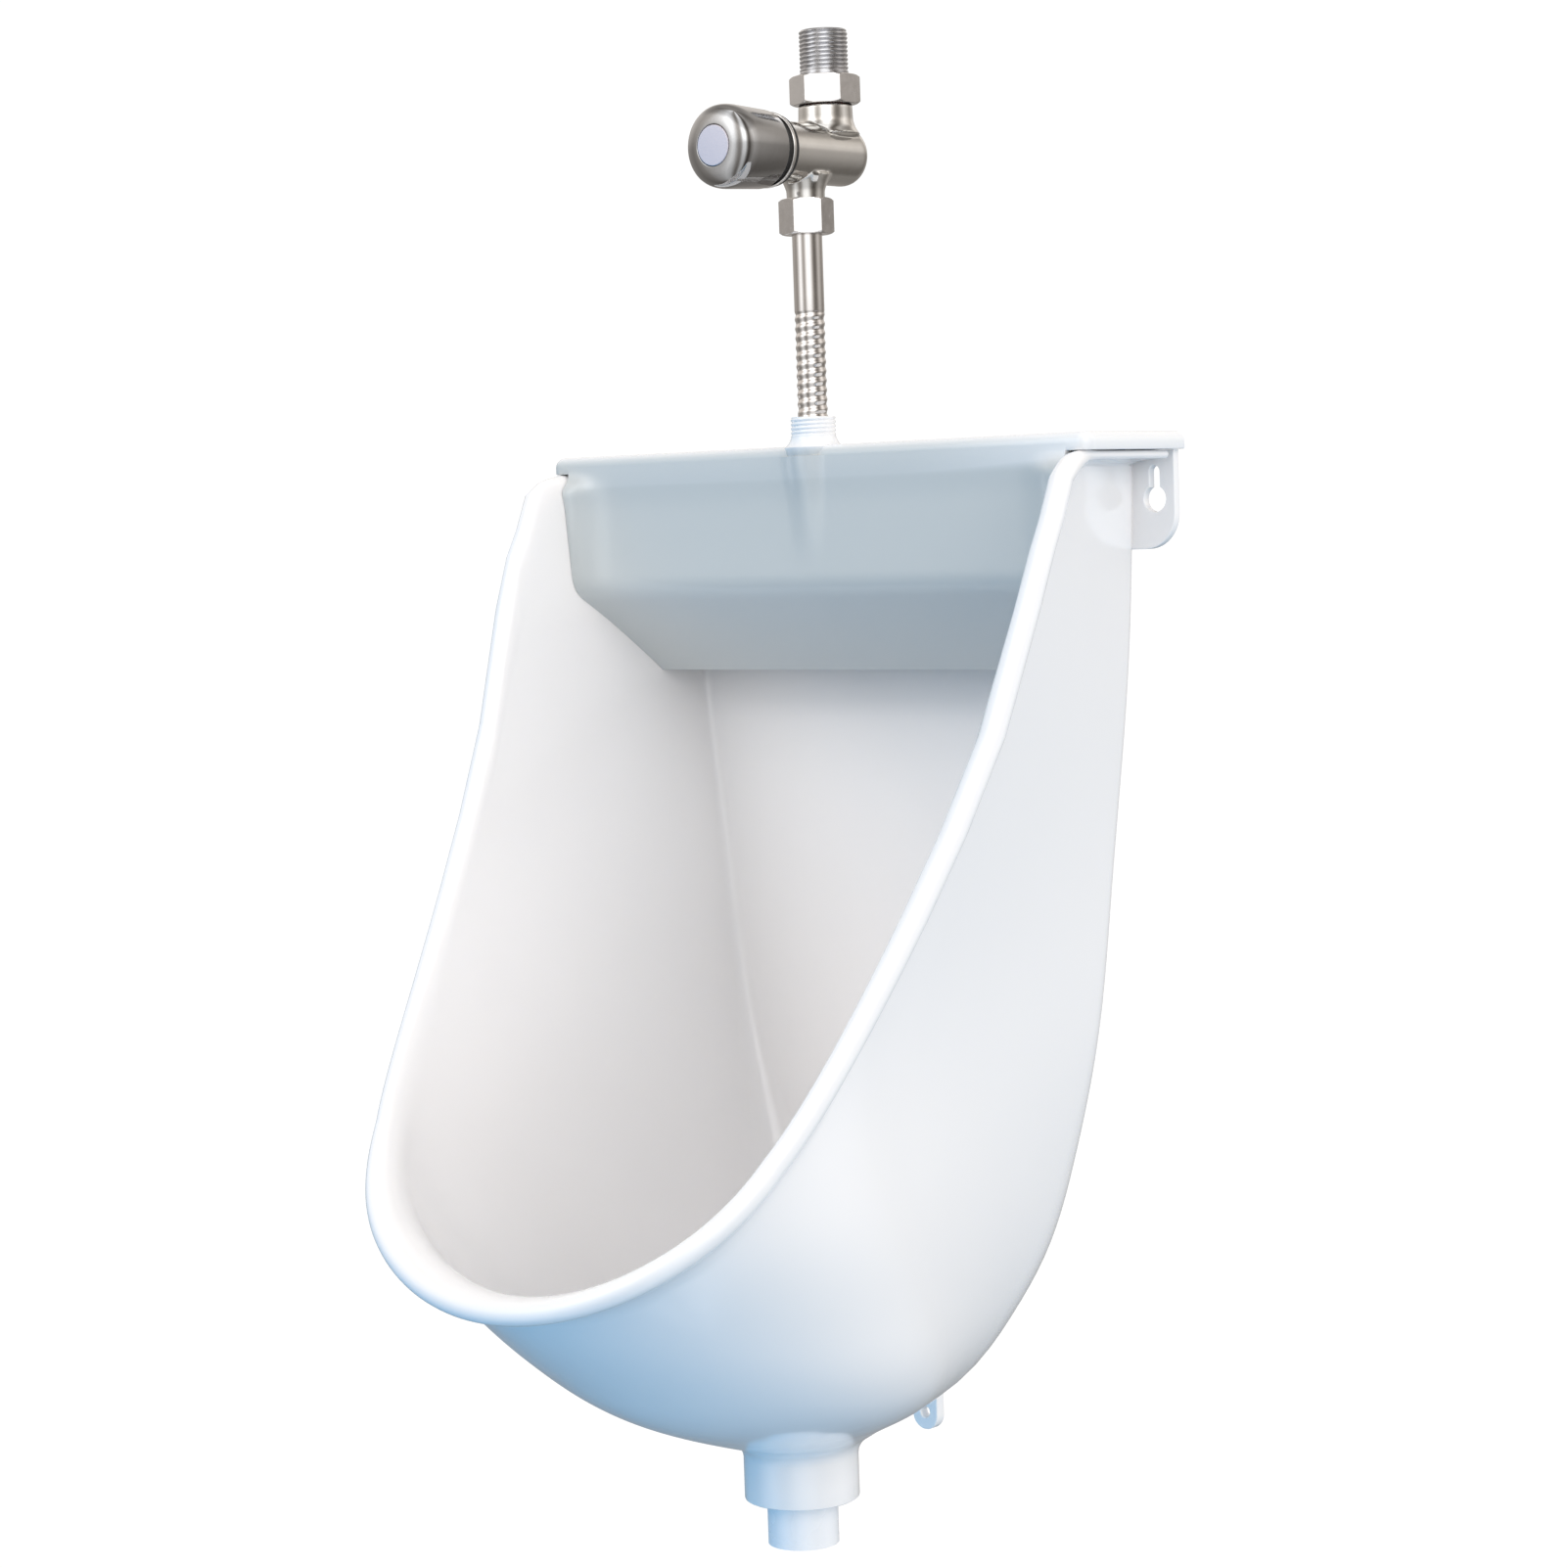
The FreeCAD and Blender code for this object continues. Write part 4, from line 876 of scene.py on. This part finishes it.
def valve_body():
    """Cast body: barrel, inlet and outlet bosses, blended into each other by remeshing and smoothing."""
    barrel = soften([(0.0, 0.0, 0), (12.9, 0.0, 0.3), (12.9, 52.3, 6.0), (0.0, 52.3, 0)], 9)
    solid = lathe("body_barrel", barrel, axis_point(BARREL_FRONT), Y, "body_chrome")
    inlet = [(0.0, 4.0), (14.8, 8.6), (12.9, 11.4), (11.9, 14.6), (11.7, 21.2), (0.0, 21.2)]
    outlet = [(0.0, 4.0), (11.4, 9.2), (9.4, 13.0), (8.3, 16.0), (8.2, 21.3), (0.0, 21.3)]
    bosses = [lathe("body_inlet", inlet, axis_point(INLET_Y), Z, "body_chrome"),
              lathe("body_outlet", outlet, axis_point(SPUD_Y), -Z, "body_chrome")]
    mesh = bmesh.new()
    for piece in [solid] + bosses:
        mesh.from_mesh(piece.data)
    mesh.to_mesh(solid.data)
    mesh.free()
    for piece in bosses:
        bpy.data.objects.remove(piece)
    remesh = solid.modifiers.new("blend", "REMESH")
    remesh.mode = "VOXEL"
    remesh.voxel_size = 0.55 * MM
    soft = solid.modifiers.new("soften", "SMOOTH")
    soft.factor = 0.5
    soft.iterations = 9
    shape = bpy.data.meshes.new_from_object(solid.evaluated_get(bpy.context.evaluated_depsgraph_get()))
    solid.modifiers.clear()
    solid.data = shape
    shape.shade_smooth()
    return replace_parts(solid, "valve_body")


flush_pipe()
hexagon_nut("pipe_nut", "outlet_nut", across=20.6, bores=[(6.7, 0.0, 7.7), (8.4, 7.7, 15.4)],
            centre_y=SPUD_Y, bottom=90.3, height=15.4, turn=42.3)
hexagon_nut("supply_nut", "inlet_union_nut", across=26.6, bores=[(11.5, 0.0, 8.5), (10.58, 8.5, 12.5)],
            centre_y=INLET_Y, bottom=146.5, height=12.5, turn=34.8)
tailpiece()
push_knob()
knob_badge()
bonnet()
valve_body()

# ---------------------------------------------------------------- hood

COVER_HALF = 150.0
COVER_FRONT = 69.7
COVER_CORNER = 6.0
COVER_ROUND = 4.4              # rounding of the cover's upper edge, where the front face leaves it
FACE_FRONT = 68.3              # hood's front face between its cheeks
CHEEK_FRONT = 74.5             # front edge of the cheeks, against the shell's side walls
CHEEK_ROUND = 36.0             # hollow rounding from the face to the cheeks
CHEEK_X = 133.2                # where that rounding reaches the cheeks' front
CHEEK_SPAN = 9.0               # depth below the cover over which the cheeks come forward
FOLD_DEPTH = 61.0
FOLD_ROUND = 7.0
FOOT_DEPTH = 98.5
FOOT_FRONT = 30.0
HOOD_WALL = 3.0
HOOD_GAP = 0.3                 # between hood and shell
MERGE_SPAN = 19.0              # depth over which the face merges into the cover
RIDGE_DEPTH = 54.0             # the ridge below the spud ends here
RIDGE_HALF = 13.5              # its half width at the top
RIDGE_TAPER = 4.0
RIDGE_HEIGHT = 4.6
RIDGE_ZONE = 16.0              # half width of the closely divided strip that holds it
FACE_SHARE = 0.45              # the side view's run: face up to here,
FOLD_SHARE = 0.65              # fold up to here, and then foot


def wall_half(front, depth):
    """Half width inside the shell at a distance from the wall, less the gap."""
    half, back_half, _, _, shoulder, _, _, _ = station_at(depth + WALL)
    inside = BACK_GAP + WALL
    share = (front - inside) / (shoulder - inside)
    return back_half - WALL + (half - back_half) * share - HOOD_GAP


def side_view(front, t):
    """Point (distance from the wall, depth) of the hood's side view, down the face, fold and foot."""
    top = np.array((front, COVER_ROUND))
    fold = np.array((front, FOLD_DEPTH))
    foot = np.array((FOOT_FRONT, FOOT_DEPTH))
    start = fold + unit(top - fold) * FOLD_ROUND
    end = fold + unit(foot - fold) * FOLD_ROUND
    if t < FACE_SHARE:
        return top + (start - top) * t / FACE_SHARE
    if t < FOLD_SHARE:
        return bezier(start, fold, end, (t - FACE_SHARE) / (FOLD_SHARE - FACE_SHARE))
    return end + (foot - end) * (t - FOLD_SHARE) / (1 - FOLD_SHARE)


def ridge_height(x, depth):
    """How far the soft ridge below the spud stands out from the face."""
    share = min(max(depth / RIDGE_DEPTH, 0.0), 1.0)
    half = RIDGE_HALF - RIDGE_TAPER * share
    if abs(x) >= half:
        return 0.0
    return RIDGE_HEIGHT * (1 - share) ** 1.5 * math.cos(math.pi * x / (2 * half)) ** 2


def hood_point(x, t, inset):
    """Point of the hood's front wall; an inset gives its inside."""
    face = side_view(FACE_FRONT, t)
    cheek = side_view(CHEEK_FRONT, t)
    run = math.sqrt(CHEEK_ROUND ** 2 - (CHEEK_ROUND - CHEEK_FRONT + FACE_FRONT) ** 2)
    over = min(max(abs(x) - (CHEEK_X - run), 0.0), run)
    share = (CHEEK_ROUND - math.sqrt(CHEEK_ROUND ** 2 - over ** 2)) / (CHEEK_FRONT - FACE_FRONT)
    p = face + (cheek - face) * share * smooth((face[1] - COVER) / CHEEK_SPAN)
    if inset:
        normal = np.array((1.0, 0.25)) if t < 0.5 else np.array((0.75, 0.6))
        p = p - normal * inset
    else:
        merge = (COVER_FRONT + 0.05 - FACE_FRONT) * (1 - smooth((p[1] - COVER + 1.0) / MERGE_SPAN))
        p = p + np.array((merge + ridge_height(x, p[1]), 0.0))
    return np.array((x, -p[0], TOP - p[1]))


def hood_front():
    """Front wall of the flush chamber: face, cheeks, fold, foot and the ridge below the spud."""
    ts = np.concatenate([np.linspace(0, FACE_SHARE, 22)[:-1], np.linspace(FACE_SHARE, FOLD_SHARE, 15)[:-1],
                         np.linspace(FOLD_SHARE, 1, 18)])
    middle = np.arange(-RIDGE_ZONE, RIDGE_ZONE + 0.1, 0.8)
    rows = []
    for inset, order in ((0.0, ts), (HOOD_WALL - 0.2, ts[::-1])):
        for t in order:
            front, depth = side_view(CHEEK_FRONT, t)
            edge = wall_half(front, min(depth, FOOT_DEPTH - 0.5))
            side = [RIDGE_ZONE + (edge - RIDGE_ZONE) * v for v in np.linspace(0, 1, 46)[1:]]
            xs = [-v for v in reversed(side)] + list(middle) + side
            rows.append([hood_point(x, t, inset) for x in xs])
    count = len(rows[0])
    vertices = [p for row in rows for p in row]
    faces = grid_faces(len(rows), count, False, True)
    for k in range(len(ts) - 1):
        a, b = k * count, (len(rows) - 1 - k) * count
        faces.append((a, a + count, b - count, b))
        a, b = a + count - 1, b + count - 1
        faces.append((a + count, a, b, b - count))
    front = mesh_object("hood_face", vertices, faces, "hood_plastic", sharp=40.0)
    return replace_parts(front, "flush_hood")


def plate_ring(inset, height):
    """Outline of the cover seen from above, drawn inside its edge."""
    half, front, corner = COVER_HALF - inset, COVER_FRONT - inset, max(COVER_CORNER - inset, 0.8)
    points = [(-half, 0.0)]
    for cx, start in ((-half + corner, 180), (half - corner, 270)):
        points += arc(cx, -front + corner, corner, start, start + 90, 8)
    points.append((half, 0.0))
    return [np.array((px, py, height)) for px, py in points]


def cover_plate():
    """Flat cover with a rounded upper edge."""
    foot = TOP - COVER
    rings = [plate_ring(0.6, foot), plate_ring(0.15, foot + 0.15), plate_ring(0.0, foot + 0.6)]
    for k in range(9):
        a = math.radians(90 * k / 8)
        height = TOP - COVER_ROUND + COVER_ROUND * math.sin(a)
        rings.append(plate_ring(COVER_ROUND * (1 - math.cos(a)), height))
    count = len(rings[0])
    vertices = [p for ring in rings for p in ring]
    faces = grid_faces(len(rings), count)
    faces.append(tuple(range(count)))
    faces.append(tuple(reversed(range(len(vertices) - count, len(vertices)))))
    return mesh_object("hood_cover", vertices, faces, "hood_plastic", sharp=40.0)


def spud():
    """Inlet stub with the thread on its upper part, and the boss at its foot."""
    outer, bore, top, thread_start = 9.7, 7.9, 12.3, 4.0
    cut, pitch, flatness = 0.55, 1.8, 1.4
    boss = [(9.8, -9.5), (11.3, -5.4), (12.2, -2.4)]
    boss_top = [np.array(p) for p in ((12.7, -0.7), (10.4, 0.9), (outer, 3.9))]

    def reshape(r, d, angle):
        if abs(r - outer) > 0.05 or d < thread_start:
            return r
        return r - thread_depth(d, angle, pitch, cut, flatness, (thread_start, 1.5), (top + 0.3, 0.9))

    outline = [(bore, -9.5)] + boss + [tuple(bezier(*boss_top, t)) for t in np.linspace(0, 1, 13)]
    outline += [(outer, d) for d in runs(thread_start + 0.1, top - 0.3, 0.16)]
    outline += [(outer - 0.35, top), (bore, top)]
    return lathe("hood_spud", outline, (0, SPUD_Y, TOP), Z, "hood_plastic", segments=72, radius_at=reshape,
                 sharp=50.0)


hood_front()
cover_plate()
spud()

# ---------------------------------------------------------------- floor

REACH = 0.4                    # half the floor's side, in metres
FLOOR_Z = -1.8                 # in metres; far below, because the object hangs on a wall

floor_data = bpy.data.meshes.new("floor")
floor_data.from_pydata([(x * REACH, y * REACH, FLOOR_Z) for x, y in ((-1, -1), (1, -1), (1, 1), (-1, 1))],
                       [], [(0, 1, 2, 3)])
floor_data.materials.append(material("floor_paint", (0.84, 0.87, 0.89), 0.7)[0])
floor = bpy.data.objects.new("floor", floor_data)
floor.visible_glossy = False   # its edges would show in the gloss of the bowl's underside
bpy.context.scene.collection.objects.link(floor)
